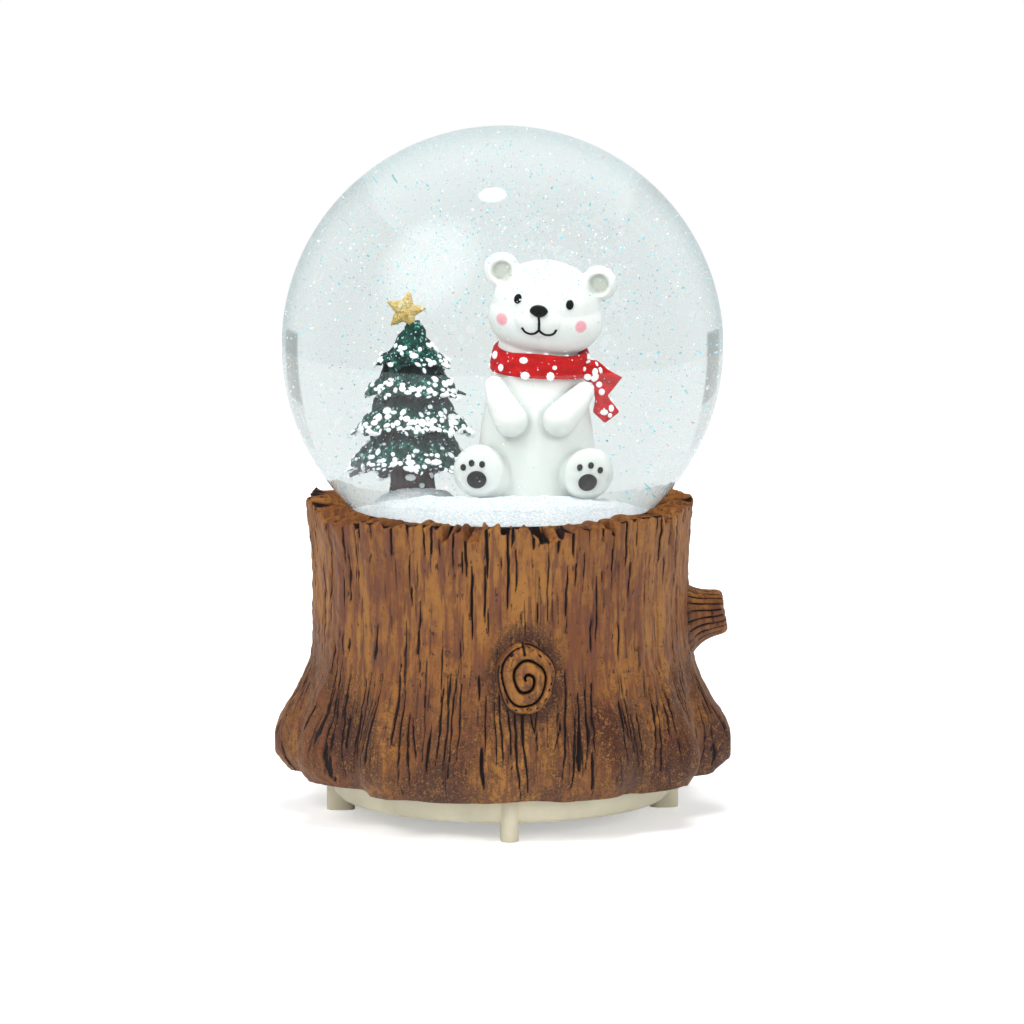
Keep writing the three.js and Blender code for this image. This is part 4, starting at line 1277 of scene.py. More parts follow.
class SNOWGLOBE_OT_snow(bpy.types.Operator):
    """Makes the snow-covered mound and the loose snow round it"""

    bl_idname = "snowglobe.snow"
    bl_label = "Snow"

    def execute(self, context):
        finish = snow_finish()
        wall = context.scene.snowglobe_globe.wall / MM
        low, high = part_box("snow_mound")
        edge = high.x / MM
        radii = np.linspace(edge, 0, 60)
        top = np.stack([radii, snow_height(radii)], axis=-1)
        profile = np.concatenate([[(0, low.z / MM), (edge, low.z / MM)], top])
        mound = mesh_piece("snow_mound_cover", *rippled_snow(profile, 31))
        dress(mound, finish)
        install(mound, "snow", "snow_mound")
        loose = mesh_piece("loose_snow_drift", *rippled_snow(self.loose_profile(edge, wall), 35))
        dress(loose, finish)
        install(loose, "snow", "loose_snow")
        return {"FINISHED"}

    def loose_profile(self, edge, wall):
        """The loose snow's outline: out along the glass below, and back along its top."""
        limit = BALL_RADIUS - wall - LOOSE_SNOW_CLEAR
        inner = edge + 0.05
        reach = math.sqrt(limit ** 2 - (BALL_HEIGHT - SNOW_RIM) ** 2)
        under = np.linspace(inner, reach, 16)
        height = BALL_HEIGHT - np.sqrt(limit ** 2 - under ** 2)
        over = np.linspace(reach - 0.05, inner, 20)
        return np.concatenate([
            np.stack([under, height], axis=-1),
            np.stack([over, np.maximum(snow_height(over), SNOW_RIM)], axis=-1),
            [(inner, height[0])],
        ])


# ---- Bear ---------------------------------------------------------------------------------

HEAD = {"centre": (7.5, -2.0, 112.9), "lean": 6.5}
EARS = (((-0.2, -1.8, 119.8), -30), ((16.9, -1.8, 117.5), 36))
EYES = ((2.8, 115.9), (12.1, 114.9))
NOSE = (6.6, 113.9)
CHEEKS = ((-0.1, 112.0), (14.0, 110.8))
FEET = ((-4.1, -9.4, 84.9), (15.5, -9.4, 84.1))
PADS = (
    ((-4.7, 83.3), ((-2.4, 2.3), (-0.9, 3.1), (1.0, 2.9))),
    ((15.8, 82.4), ((-1.6, 3.0), (0.5, 3.3), (2.3, 2.3))),
)
MOUTH = (((6.6, 113.0), (6.65, 111.8), (6.6, 110.6)),
         ((6.6, 110.6), (5.9, 109.9), (4.9, 109.8), (4.0, 110.2), (3.5, 111.0)),
         ((6.6, 110.6), (7.3, 109.8), (8.4, 109.55), (9.3, 109.8), (9.7, 110.6)))
# Each arm: x, y, z and radius at the shoulder, the elbow and the paw.
ARMS = (
    ((-1.3, -6.6, 99.9, 1.9), (-0.1, -8.6, 97.0, 2.65), (1.5, -10.2, 94.2, 3.05)),
    ((14.3, -6.6, 98.9, 1.9), (12.4, -8.6, 96.5, 2.65), (10.2, -10.2, 94.2, 3.05)),
)
FOOT_RADII = (4.7, 5.2, 4.9)
TORSO_CENTRE, TORSO_DEPTH = (5.8, -1.5), 0.88
TORSO_HEIGHTS = (79, 79, 82, 85.5, 89, 93, 97, 101, 105, 108, 109, 109)
TORSO_RADII = (0, 9.4, 9.8, 10.0, 9.85, 9.4, 8.7, 7.9, 7.0, 6.2, 5.0, 0)


def torso():
    """The pear-shaped body, down into the snow."""
    points, faces = turned(np.stack([TORSO_RADII, TORSO_HEIGHTS], axis=-1), 48)
    return points * (1, TORSO_DEPTH, 1) + (*TORSO_CENTRE, 0), faces


def foot(centre):
    """A foot with a flat sole that faces the front."""
    points, faces = ball_points(FOOT_RADII, (0, 0, 0), (0, 0, 0), 28, 40)
    sole = -2.6
    front = points[:, 1] < sole
    points[front, 1] = sole + (points[front, 1] - sole) * 0.3
    return points + centre, faces


def ear(centre, lean):
    slant = math.radians(lean)
    root = np.add(centre, (-2.2 * math.sin(slant), 0.3, -2.2 * math.cos(slant)))
    return gathered(
        ball_points((3.2, 1.9, 3.1), centre, (0, lean, 0), 28, 40),
        ball_points((2.2, 1.6, 2.4), root, (0, lean, 0)),
    )


def arm_stops(joints):
    """Centres and radii along an arm that is bent at its joints."""
    stops = np.linspace(0, len(joints) - 1, 11)
    return np.stack([np.interp(stops, range(len(joints)), [joint[k] for joint in joints])
                     for k in range(4)], axis=-1)


def arm(joints):
    """An arm from the shoulder down and in to the belly: balls strung along a bent line."""
    return gathered(*[ball_points((r, r, r), (x, y, z)) for x, y, z, r in arm_stops(joints)])


def bear_skin():
    """Every ball of the figure, before they are melted into one skin."""
    x, y, z = HEAD["centre"]
    lean = (0, HEAD["lean"], 0)
    crown = ball_points((9.4, 8.5, 8.0), (x, y, z + 0.5), lean, 36, 56)
    jowls = ball_points((9.95, 8.5, 6.6), (x - 0.1, y - 0.2, z - 1.7), lean, 36, 56)
    muzzle = ball_points((4.3, 2.4, 3.1), (NOSE[0], y - 7.3, z - 1.0), lean, 24, 32)
    thighs = [ball_points((4.2, 6.2, 4.6), (x, y, 84.2)) for x, y in ((-1.6, -5), (13.0, -5))]
    return gathered(
        torso(), crown, jowls, muzzle, *thighs, *[foot(centre) for centre in FEET],
        *[ear(*place) for place in EARS], *[arm(joints) for joints in ARMS],
    )


def ear_hollows(points):
    """How deep each point lies in an ear's hollow, from 0 to 1."""
    hollow = np.zeros(len(points))
    for (x, y, z), lean in EARS:
        slant = math.radians(lean)
        side = (points[:, 0] - x) * math.cos(slant) - (points[:, 2] - z) * math.sin(slant)
        up = (points[:, 0] - x) * math.sin(slant) + (points[:, 2] - z) * math.cos(slant)
        away = np.hypot(side / 1.95, (up + 0.1) / 2.0)
        hollow = np.maximum(hollow, smooth(1.12 - away, 0, 0.42) * (points[:, 1] < y + 0.2))
    return hollow


def creases(points):
    """How near each point is to where an arm or a foot meets the body, from 0 to 1: where painted
    shade goes.
    """
    level = points[:, 2]
    body = np.hypot(points[:, 0] - TORSO_CENTRE[0], (points[:, 1] - TORSO_CENTRE[1]) / TORSO_DEPTH)
    body = np.abs(body - np.interp(level, TORSO_HEIGHTS[1:-1], TORSO_RADII[1:-1]))
    near = np.full(len(points), 9.0)
    for joints in ARMS:
        for x, y, z, r in arm_stops(joints):
            near = np.minimum(near, np.linalg.norm(points - (x, y, z), axis=1) - r)
    for centre in FEET:
        share = np.linalg.norm((points - centre) / FOOT_RADII, axis=1)
        near = np.minimum(near, (share - 1) * FOOT_RADII[2])
    return smooth(1.5 - body - np.abs(near), 0, 1.3)


def round_spots(points, centres, radius):
    """1 within a radius of any (x, z) centre on the front of the figure, with a soft edge."""
    share = np.zeros(len(points))
    for x, z in centres:
        away = np.hypot(points[:, 0] - x, (points[:, 2] - z) * 0.9)
        share = np.maximum(share, smooth(radius - away, -0.12, 0.22) * (points[:, 1] < -2))
    return share


def bear_finish(look):
    """White gloss enamel with sponged pink cheeks and unpainted grey ear hollows, and painted shade
    low down and where the arms and feet meet the body.
    """
    material, g = new_finish("bear_enamel")
    place = g.place()
    cloud = g.noise(place, 7 * MM, 3)
    brushed = g.noise(g.stretched(place, (1, 1, 0.5)), 1.6 * MM, 3)
    grit = g.noise(place, 0.45 * MM, 3, 0.7)
    tint = g.mix(cloud.step(0.38, 0.72) * 0.5, tuple(look.fur), rgba(228, 234, 229))
    # Painted shade: the lower part of the figure is greyer.
    tint = g.mix(g.attribute("low") * 0.4, tint, rgba(218, 226, 219))
    # Painted shade where the arms and the feet meet the body.
    tint = g.mix(g.attribute("crease") * 0.5, tint, rgba(180, 190, 184))
    tint = g.mix(g.attribute("hollow") * (0.5 + grit * 0.8).least(1.0), tint, rgba(206, 208, 198))
    sponged = g.attribute("cheek") * (0.45 + grit * 0.9 + (brushed - 0.5) * 0.4).least(1.0)
    tint = g.mix(sponged, tint, tuple(look.cheeks))
    tint = g.mix(grit.step(0.7, 0.74) * 0.35, tint, rgba(214, 228, 232))
    g.surface({
        "Base Color": tint,
        "Roughness": 0.36 + cloud * 0.12 + g.attribute("hollow") * 0.3,
        "Subsurface Weight": 0.25,
        "Subsurface Radius": (1.0, 1.0, 1.0),
        "Subsurface Scale": 1.2 * MM,
        "Coat Weight": 0.3,
        "Coat Roughness": 0.12,
        "Normal": g.bump(cloud * 0.8 + brushed * 0.25 + grit * 0.12, 0.16 * MM, 0.55),
    })
    return material


def gloss_black():
    material, g = new_finish("black_enamel")
    place = g.place()
    pool = g.noise(place, 1.4 * MM, 3)
    g.surface({
        "Base Color": g.mix(pool.step(0.6, 0.75) * 0.5, rgba(9, 8, 10), rgba(34, 32, 36)),
        "Roughness": 0.2 + pool * 0.2,
        "Specular IOR Level": 0.12,
        "Coat Weight": 0.06,
        "Normal": g.bump(pool, 0.12 * MM, 0.6),
    })
    return material


class Front:
    """Finds the front skin of the figure, so that details can be laid on it."""

    def __init__(self, piece):
        graph = bpy.context.evaluated_depsgraph_get()
        self.tree = BVHTree.FromObject(piece, graph)

    def at(self, x, z):
        start = Vector((x, -60, z)) * MM
        place, normal, _, _ = self.tree.ray_cast(start, Vector((0, 1, 0)))
        if place is None:
            raise RuntimeError(f"nothing of the figure is in front at x {x}, z {z}")
        return np.array(place) / MM, np.array(normal)

    def button(self, x, z, radii, lean=0, sink=0.3):
        """An oval that lies on the skin, sunk a share of its thickness into it."""
        place, normal = self.at(x, z)
        points, faces = ball_points(radii, (0, 0, 0), (0, lean, 0), 14, 24)
        facing = np.array(Vector((0, -1, 0)).rotation_difference(Vector(normal)).to_matrix())
        return points @ facing.T + place + normal * radii[1] * (0.5 - sink), faces

    def line(self, path, radius):
        """A raised line of paint along (x, z) points on the skin, with round ends."""
        bends = np.linspace(0, len(path) - 1, 14)
        x = np.interp(bends, range(len(path)), [p[0] for p in path])
        z = np.interp(bends, range(len(path)), [p[1] for p in path])
        for _ in range(2):
            x[1:-1] = (x[:-2] + 2 * x[1:-1] + x[2:]) / 4
            z[1:-1] = (z[:-2] + 2 * z[1:-1] + z[2:]) / 4
        spine = np.array([self.at(*point)[0] for point in zip(x, z)])
        return tube(spine, np.full(len(spine), radius), (0, -1, 0))


def tube(spine, radii, facing):
    """Points and faces of a round bar along a spine, closed to a point at both ends."""
    spine = np.concatenate([spine[:1], spine, spine[-1:]])
    radii = np.concatenate([[0], radii, [0]])
    along = np.gradient(spine, axis=0)
    along /= np.maximum(np.linalg.norm(along, axis=1, keepdims=True), 1e-9)
    across = np.cross(along, facing)
    across /= np.maximum(np.linalg.norm(across, axis=1, keepdims=True), 1e-9)
    rise = np.cross(across, along)
    sides = 10
    turn = np.arange(sides) * TAU / sides
    ring = across[:, None] * np.cos(turn)[:, None] + rise[:, None] * np.sin(turn)[:, None]
    points = spine[:, None] + ring * radii[:, None, None]
    return points.reshape(-1, 3), grid_faces(len(spine), sides)


class SNOWGLOBE_OT_bear(bpy.types.Operator):
    """Makes the sitting bear with its face, cheeks and paw pads"""

    bl_idname = "snowglobe.bear"
    bl_label = "Bear"

    def execute(self, context):
        look = context.scene.snowglobe_figures
        bear = melted(mesh_piece("bear_casting", *bear_skin()), 0.28, 3)
        points = coordinates(bear.data).astype(float) / MM
        hollow = ear_hollows(points)
        points[:, 1] += 1.2 * hollow
        bear.data.vertices.foreach_set("co", (points * MM).astype(np.float32).ravel())
        bear.data.update()
        paint_attribute(bear, "hollow", smooth(hollow, 0.35, 0.9))
        paint_attribute(bear, "cheek", round_spots(points, CHEEKS, 1.0))
        # Painted shade goes low down and where the arms and feet meet the body.
        paint_attribute(bear, "low", smooth(100 - points[:, 2], 0, 12))
        paint_attribute(bear, "crease", creases(points))
        dress(bear, bear_finish(look))
        install(bear, "bear_paint", "bear_figure")
        self.add_details(Front(bear))
        return {"FINISHED"}

    def add_details(self, front):
        shapes = [front.button(x, z, (0.74, 0.5, 0.92), HEAD["lean"] + 6) for x, z in EYES]
        nose, faces = front.button(*NOSE, (1.7, 1.25, 1.12), HEAD["lean"])
        below = np.clip((NOSE[1] - nose[:, 2]) / 1.1, 0, 1)
        nose[:, 0] = NOSE[0] + (nose[:, 0] - NOSE[0]) * (1 - 0.3 * below)
        shapes.append((nose, faces))
        shapes += [front.line(path, 0.24) for path in MOUTH]
        for (x, z), toes in PADS:
            shapes.append(front.button(x, z, (1.8, 0.6, 1.7)))
            shapes += [front.button(x + dx, z + dz, (0.55, 0.35, 0.65)) for dx, dz in toes]
        details = mesh_piece("bear_face_and_pads", *gathered(*shapes))
        dress(details, gloss_black())
        install(details, "bear_paint")


# ---- Scarf --------------------------------------------------------------------------------

SCARF = {"centre": (6.5, -1.6, 104.1), "radius": 7.9, "half_height": 2.1, "tilt": 3.6, "nod": 4}
UPPER_TAIL = (((14.2, 104.4), (16.4, 104.2), (18.6, 102.5), (21.0, 101.3)),
              ((14.2, 101.6), (16.0, 100.9), (17.2, 99.4), (18.3, 98.1)))
LOWER_TAIL = (((15.3, 102.4), (15.6, 99.8), (16.1, 97.4), (15.7, 95.3), (17.9, 93.3)),
              ((16.8, 102.6), (17.5, 100.2), (18.3, 98.0), (20.5, 95.2), (17.9, 93.3)))


def band_section(half_width, half_height, steps):
    """A flat band's outline with round edges."""
    turn = np.arange(steps) * TAU / steps
    cosine, sine = np.cos(turn), np.sin(turn)
    return (half_width * np.sign(cosine) * np.abs(cosine) ** 0.55,
            half_height * np.sign(sine) * np.abs(sine) ** 0.55)


def scarf_band():
    """The scarf's turn round the neck, a little uneven and wider where it is pressed."""
    around = 150
    turn = np.arange(around)[:, None] * TAU / around
    depth, rise = band_section(0.62, SCARF["half_height"], 20)
    path = np.stack([np.cos(turn[:, 0]), np.sin(turn[:, 0]), 0 * turn[:, 0]], axis=-1)
    swell = 0.16 * Ripple(41, 1.3)(path)[:, None]
    radius = SCARF["radius"] + depth[None] + swell - 0.12 * rise[None]
    height = rise[None] * (1 + 0.05 * Ripple(42, 1.1)(path)[:, None]) + 0.14 * np.sin(3 * turn)
    points = np.stack([radius * np.cos(turn), 0.95 * radius * np.sin(turn), height], axis=-1)
    lean = Matrix.Rotation(math.radians(SCARF["tilt"]), 3, "Y")
    lean = np.array(lean @ Matrix.Rotation(math.radians(SCARF["nod"]), 3, "X"))
    points = points.reshape(-1, 3) @ lean.T + SCARF["centre"]
    return points, grid_faces(around, len(depth), round_rows=True)


def scarf_tail(edges, depth, fold):
    """A hanging end of the scarf between two edges of (x, z) points, with a lengthwise fold."""
    bends = np.linspace(0, 1, 30)
    sides = []
    for edge in edges:
        marks = np.linspace(0, 1, len(edge))
        sides.append(np.stack([np.interp(bends, marks, [p[0] for p in edge]),
                               0 * bends, np.interp(bends, marks, [p[1] for p in edge])], axis=-1))
    first, second = sides
    middle, half = (first + second) / 2, (second - first) / 2
    across, thick = band_section(1, 0.55, 28)
    points = middle[:, None] + half[:, None] * across[None, :, None]
    drape = depth + fold * np.sin(across * 2.6 + 0.8)[None] * (0.3 + 0.7 * bends[:, None])
    drape = drape + 0.35 * np.sin(bends * 5)[:, None]
    points[..., 1] = drape + thick[None]
    caps = [np.broadcast_to(points[k].mean(0), points[k].shape)[None] for k in (0, -1)]
    points = np.concatenate([caps[0], points, caps[1]])
    return points.reshape(-1, 3), grid_faces(len(bends) + 2, len(across))


def scarf_finish(look):
    """Brushed red enamel, worn paler and darker in patches."""
    material, g = new_finish("red_scarf_enamel")
    place = g.place()
    brushed = g.noise(g.stretched(place, (0.6, 0.6, 1.6)), 1.5 * MM, 4, 0.6)
    grit = g.noise(place, 0.4 * MM, 2)
    tint = g.mix(brushed.step(0.4, 0.72) * 0.7, tuple(look.scarf), rgba(146, 10, 14))
    tint = g.mix(brushed.step(0.44, 0.3) * 0.5, tint, rgba(222, 44, 40))
    tint = g.mix(grit.step(0.72, 0.76) * 0.6, tint, rgba(236, 190, 190))
    g.surface({
        "Base Color": tint,
        "Roughness": 0.4 + brushed * 0.2,
        "Specular IOR Level": 0.12,
        "Normal": g.bump(brushed + grit * 0.3, 0.16 * MM, 0.7),
    })
    return material


def dab_finish():
    """Dabs of white snow paint, blue-white in specks, with a faint glow as painted light so that they
    stay white in shade.
    """
    material, g = new_finish("snow_dabs")
    place = g.place()
    grit = g.noise(place, 0.35 * MM, 3, 0.7)
    g.surface({
        "Base Color": g.mix(grit.step(0.55, 0.8), rgba(253, 254, 254), rgba(218, 226, 236)),
        "Roughness": 0.5 + grit * 0.2,
        # Painted light: the dabs glow a little.
        "Emission Color": rgba(236, 244, 250),
        "Emission Strength": 0.22,
        "Normal": g.bump(grit, 0.2 * MM, 0.8),
    })
    return material


def dab_recipe():
    """Small flattened dabs scattered over a surface, thicker where its "snowy" value is high."""
    recipe = GeometryRecipe("snow_dabs", {
        "Surface": "NodeSocketObject",
        "Density": "NodeSocketFloat",
        "Apart": "NodeSocketFloat",
        "Smallest": "NodeSocketFloat",
        "Largest": "NodeSocketFloat",
        "Seed": "NodeSocketInt",
        "Finish": "NodeSocketMaterial",
    })
    g = recipe.graph
    base = g.node("GeometryNodeObjectInfo", {}, {"Object": recipe.input("Surface")}, "Geometry")
    snowy = g.node("GeometryNodeInputNamedAttribute", {"data_type": "FLOAT"}, {"Name": "snowy"})
    scatter = g.node("GeometryNodeDistributePointsOnFaces", {"distribute_method": "POISSON"}, {
        "Mesh": base, "Distance Min": recipe.input("Apart"), "Density Factor": snowy,
        "Density Max": recipe.input("Density"), "Seed": recipe.input("Seed"),
    }).socket.node
    points, facing = Wire(g, scatter.outputs["Points"]), Wire(g, scatter.outputs["Rotation"])
    seed = recipe.input("Seed")
    size = g.chance(recipe.input("Smallest"), recipe.input("Largest"), seed + 1)
    scale = g.scaled(g.chance((0.7, 0.75, 0.35), (1.35, 1.1, 0.55), seed + 2), size)
    dab = g.node("GeometryNodeMeshUVSphere", {}, {"Segments": 8, "Rings": 5, "Radius": 1.0})
    copies = g.node("GeometryNodeInstanceOnPoints", {},
                    {"Points": points, "Instance": dab, "Rotation": facing, "Scale": scale})
    recipe.end(copies, recipe.input("Finish"))
    return recipe


class SNOWGLOBE_OT_scarf(bpy.types.Operator):
    """Makes the red scarf with its two ends and its snow dabs"""

    bl_idname = "snowglobe.scarf"
    bl_label = "Scarf"

    def execute(self, context):
        look = context.scene.snowglobe_figures
        red = scarf_finish(look)
        band = mesh_piece("scarf_band", *scarf_band())
        dress(band, red)
        install(band, "scarf_paint", "scarf_wrap")
        ends = gathered(scarf_tail(UPPER_TAIL, -3.9, 0.45), scarf_tail(LOWER_TAIL, -4.5, 0.4),
                        ball_points((1.5, 1.3, 1.9), (15.2, -4.4, 102.3), (0, 10, 0)))
        tails = melted(mesh_piece("scarf_ends", *ends), 0.16, 4)
        dress(tails, red)
        install(tails, "scarf_paint", "scarf_tails")
        for piece in (band, tails):
            paint_attribute(piece, "snowy", self.snowy(piece))
        recipe, finish = dab_recipe(), dab_finish()
        for piece, seed, density, apart_by in ((band, 5, 0.5, 1.6), (tails, 8, 1.6, 1.05)):
            dabs = recipe.make(piece.name + "_dabs", {
                "Surface": piece, "Density": density / MM ** 2, "Apart": apart_by * MM,
                "Smallest": 0.45 * MM, "Largest": 0.8 * MM, "Seed": seed, "Finish": finish,
            })
            install(dabs, "scarf_paint")
        return {"FINISHED"}

    def snowy(self, piece):
        points = coordinates(piece.data) / MM
        return smooth(Ripple(43, 5)(points), -1.4, 0.8)


# ---- Fir tree -----------------------------------------------------------------------------

# Each tier: hem radius, hem height, shoulder radius, top height, points round the hem.
FIR_TIERS = (
    (10.9, 85.4, 6.0, 93.4, 9), (9.8, 91.8, 5.0, 99.4, 8), (8.1, 98.0, 3.9, 104.2, 8),
    (6.4, 103.0, 1.0, 109.6, 7),
)


def fir_tier(hem, hem_height, shoulder, top, tips, seed):
    """One skirt of branches: it flares to a hem of drooping points, and is hollow below."""
    columns = 132
    turn = np.arange(columns) * TAU / columns
    rng = np.random.default_rng(seed)
    phase = rng.uniform(0, TAU)
    around = turn * tips / TAU + phase / TAU + 0.18 * np.sin(2 * turn + phase)
    point = (np.abs(around % 1 - 0.5) * 2) ** 1.6
    rise = top - hem_height
    share = np.array([0, 0, 0.1, 0.2, 0.32, 0.44, 0.56, 0.68, 0.78, 0.87, 0.94, 1.0])[:, None]
    radius = shoulder + (hem - shoulder) * (0.55 * share + 0.45 * share ** 2.2)
    radius = radius * (1 - (0.16 - 0.24 * point) * share ** 2 * 0.75)
    height = top - rise * share ** 0.86 - 1.1 * point * share ** 3
    radius[0] = 0
    under_share = np.array([0.94, 0.7, 0.4, 0.0])[:, None]
    under_radius = radius[-1:] * under_share
    under_height = height[-1:] * under_share + (hem_height + 1.9) * (1 - under_share) + 0.3
    radius = np.concatenate([radius, under_radius])
    height = np.concatenate([height, under_height])
    place = np.stack([radius * np.cos(turn), radius * np.sin(turn), height], axis=-1)
    lumps = 0.3 * Ripple(seed + 50, 3.2)(place) + 0.2 * Ripple(seed + 60, 1.3)(place)
    swell = lumps * smooth(radius, 0.3, 2.0) * (np.arange(len(radius)) < 12)[:, None]
    outward = np.stack([np.cos(turn), np.sin(turn), 0.5 + 0 * turn], axis=-1)
    place = place + outward * swell[..., None] + (*FIR_AXIS, 0)
    under = np.repeat((np.arange(len(radius)) >= 12).astype(float), columns)
    near_hem = np.repeat(np.concatenate([share[:, 0], [0.0] * 4]), columns)
    return place.reshape(-1, 3), grid_faces(len(radius), columns), under, near_hem


def fir_finish(look):
    """Dark green resin with turquoise glitter, with painted shade that makes it almost black below
    each tier and under the one above.
    """
    material, g = new_finish("glittered_fir")
    place = g.place()
    cloud = g.noise(place, 2.2 * MM, 4, 0.65)
    needles = g.noise(g.stretched(place, (1, 1, 0.4)), 0.55 * MM, 3, 0.7)
    specks = g.cells(place, 0.42 * MM, out="Color")
    lit = g.node("ShaderNodeSeparateColor", {}, {"Color": specks}, 0)
    tint = g.mix(cloud.step(0.35, 0.7), tuple(look.needles), rgba(9, 42, 36))
    tint = g.mix(lit.step(0.84, 0.88) * 0.8, tint, rgba(60, 150, 136))
    tint = g.mix(lit.step(0.95, 0.97), tint, rgba(178, 226, 216))
    # Painted shade.
    tint = g.mix(g.attribute("shaded") * 0.95, tint, rgba(7, 16, 14))
    g.surface({
        "Base Color": tint,
        "Roughness": 0.5 - lit.step(0.78, 0.82) * 0.25,
        "Specular IOR Level": 0.5,
        "Normal": g.bump(needles + cloud * 0.7, 0.45 * MM, 1.0),
    })
    return material


def trunk_finish():
    material, g = new_finish("painted_trunk")
    place = g.place()
    grain = g.noise(g.stretched(place, (1, 1, 0.25)), 0.9 * MM, 4, 0.65)
    tint = g.mix(grain.step(0.35, 0.7), rgba(98, 22, 18), rgba(34, 11, 10))
    g.surface({
        "Base Color": tint,
        "Roughness": 0.55 + grain * 0.2,
        "Normal": g.bump(grain, 0.5 * MM, 0.9),
    })
    return material


class SNOWGLOBE_OT_fir(bpy.types.Operator):
    """Makes the fir tree, its trunk and the snow dabs on its tiers"""

    bl_idname = "snowglobe.fir"
    bl_label = "Fir tree"

    def execute(self, context):
        tiers = [fir_tier(*tier, 70 + k) for k, tier in enumerate(FIR_TIERS)]
        points, faces = gathered(*[(tier[0], tier[1]) for tier in tiers])
        fir = mesh_piece("fir_tiers", points, faces, tidy=False)
        hem = np.concatenate([tier[3] for tier in tiers])
        paint_attribute(fir, "shaded", np.maximum(
            np.concatenate([tier[2] for tier in tiers]), self.covered(points, hem)))
        clumps = smooth(Ripple(91, 4.5)(points) + 0.5 * Ripple(92, 1.8)(points), -1.2, 0.5)
        paint_attribute(fir, "snowy", smooth(hem, 0.38, 0.72) * clumps)
        clean(fir.data)
        dress(fir, fir_finish(context.scene.snowglobe_figures))
        install(fir, "fir_paint", "fir_tree")
        trunk = self.trunk()
        recipe, finish = dab_recipe(), dab_finish()
        for piece, seed, density in ((fir, 12, 4.0), (trunk, 14, 0.1)):
            dabs = recipe.make(piece.name + "_snow", {
                "Surface": piece, "Density": density / MM ** 2, "Apart": 0.95 * MM,
                "Smallest": 0.36 * MM, "Largest": 0.78 * MM, "Seed": seed, "Finish": finish,
            })
            install(dabs, "snow")
        return {"FINISHED"}

    def covered(self, points, hem):
        """The upper part of each tier, in the shade of the one above, takes painted shade."""
        top = points[:, 2] > FIR_TIERS[-1][1]
        return np.where(top, 0, smooth(0.5 - hem, 0, 0.25))

    def trunk(self):
        profile = [(0, 79.6), (3.97, 79.7), (3.9, 80.8), (3.5, 82.4), (3.3, 84.5), (3.2, 87), (0, 87)]
        points, faces = turned(profile, 72)
        turn = np.arctan2(points[:, 1], points[:, 0])
        grooves = 0.16 * np.sin(turn * 17 + points[:, 2]) + 0.14 * np.sin(turn * 7 + 1)
        points[:, :2] *= (1 + grooves * 0.35)[:, None]
        trunk = mesh_piece("fir_trunk", points + (*FIR_AXIS, 0), faces)
        paint_attribute(trunk, "snowy", np.ones(len(trunk.data.vertices)))
        dress(trunk, trunk_finish())
        return install(trunk, "trunk_paint", "tree_trunk")


STAR = {"centre": (-16.0, 5.0, 111.3), "reach": 3.6, "waist": 1.75, "half": 0.95, "turn": 80}


def star_outline(turn):
    """The star's radius in each direction, on straight lines between tips and waists."""
    step = TAU / 10
    spot = (turn - math.radians(STAR["turn"])) % (2 * step)
    spot = np.minimum(spot, 2 * step - spot)
    tip = np.array([STAR["reach"], 0])
    waist = STAR["waist"] * np.array([math.cos(step), math.sin(step)])
    edge = waist - tip
    return (tip[0] * edge[1] - tip[1] * edge[0]) / (edge[1] * np.cos(spot) - edge[0] * np.sin(spot))


class SNOWGLOBE_OT_star(bpy.types.Operator):
    """Makes the glittered star on top of the tree"""

    bl_idname = "snowglobe.star"
    bl_label = "Star"

    def execute(self, context):
        columns = 120
        turn = np.arange(columns) * TAU / columns
        shares = np.array([0, 0.3, 0.55, 0.75, 0.88, 0.96, 1, 1, 0.96, 0.88, 0.75, 0.55, 0.3, 0])
        sides = np.where(np.arange(len(shares)) < 7, -1, 1)
        share, turn = np.meshgrid(shares, turn, indexing="ij")
        radius = star_outline(turn) * share
        thick = STAR["half"] * (0.22 + 0.78 * np.sqrt(np.maximum(1 - share ** 2.2, 0)))
        x, z = radius * np.cos(turn), radius * np.sin(turn)
        points = np.stack([x, thick * sides[:, None], z], axis=-1)
        points = points + 0.07 * Ripple(95, 1.1)(points)[..., None] * (1, 1, 1)
        star = mesh_piece("gold_star", points.reshape(-1, 3) + STAR["centre"],
                          grid_faces(len(shares), columns))
        dress(star, self.finish(context.scene.snowglobe_figures))
        install(star, "gold_glitter", "tree_star")
        return {"FINISHED"}

    def finish(self, look):
        """Gold glitter: grains that are each tinted and tilted on their own."""
        material, g = new_finish("gold_glitter")
        place = g.place()
        grains = g.cells(place, 0.3 * MM, out="Color")
        lit = g.node("ShaderNodeSeparateColor", {}, {"Color": grains}, 0)
        height = g.cells(place, 0.3 * MM)
        tint = g.mix(lit.step(0.25, 0.8), tuple(look.gold), rgba(250, 232, 160))
        tint = g.mix(lit.step(0.28, 0.12) * 0.5, tint, rgba(178, 122, 42))
        g.surface({
            "Base Color": tint,
            "Metallic": 0.1 + lit * 0.25,
            "Roughness": 0.32 + lit * 0.2,
            "Normal": g.bump(height + lit * 0.8, 0.2 * MM, 0.9),
        })
        return material


# ---- Glitter that has settled -------------------------------------------------------------


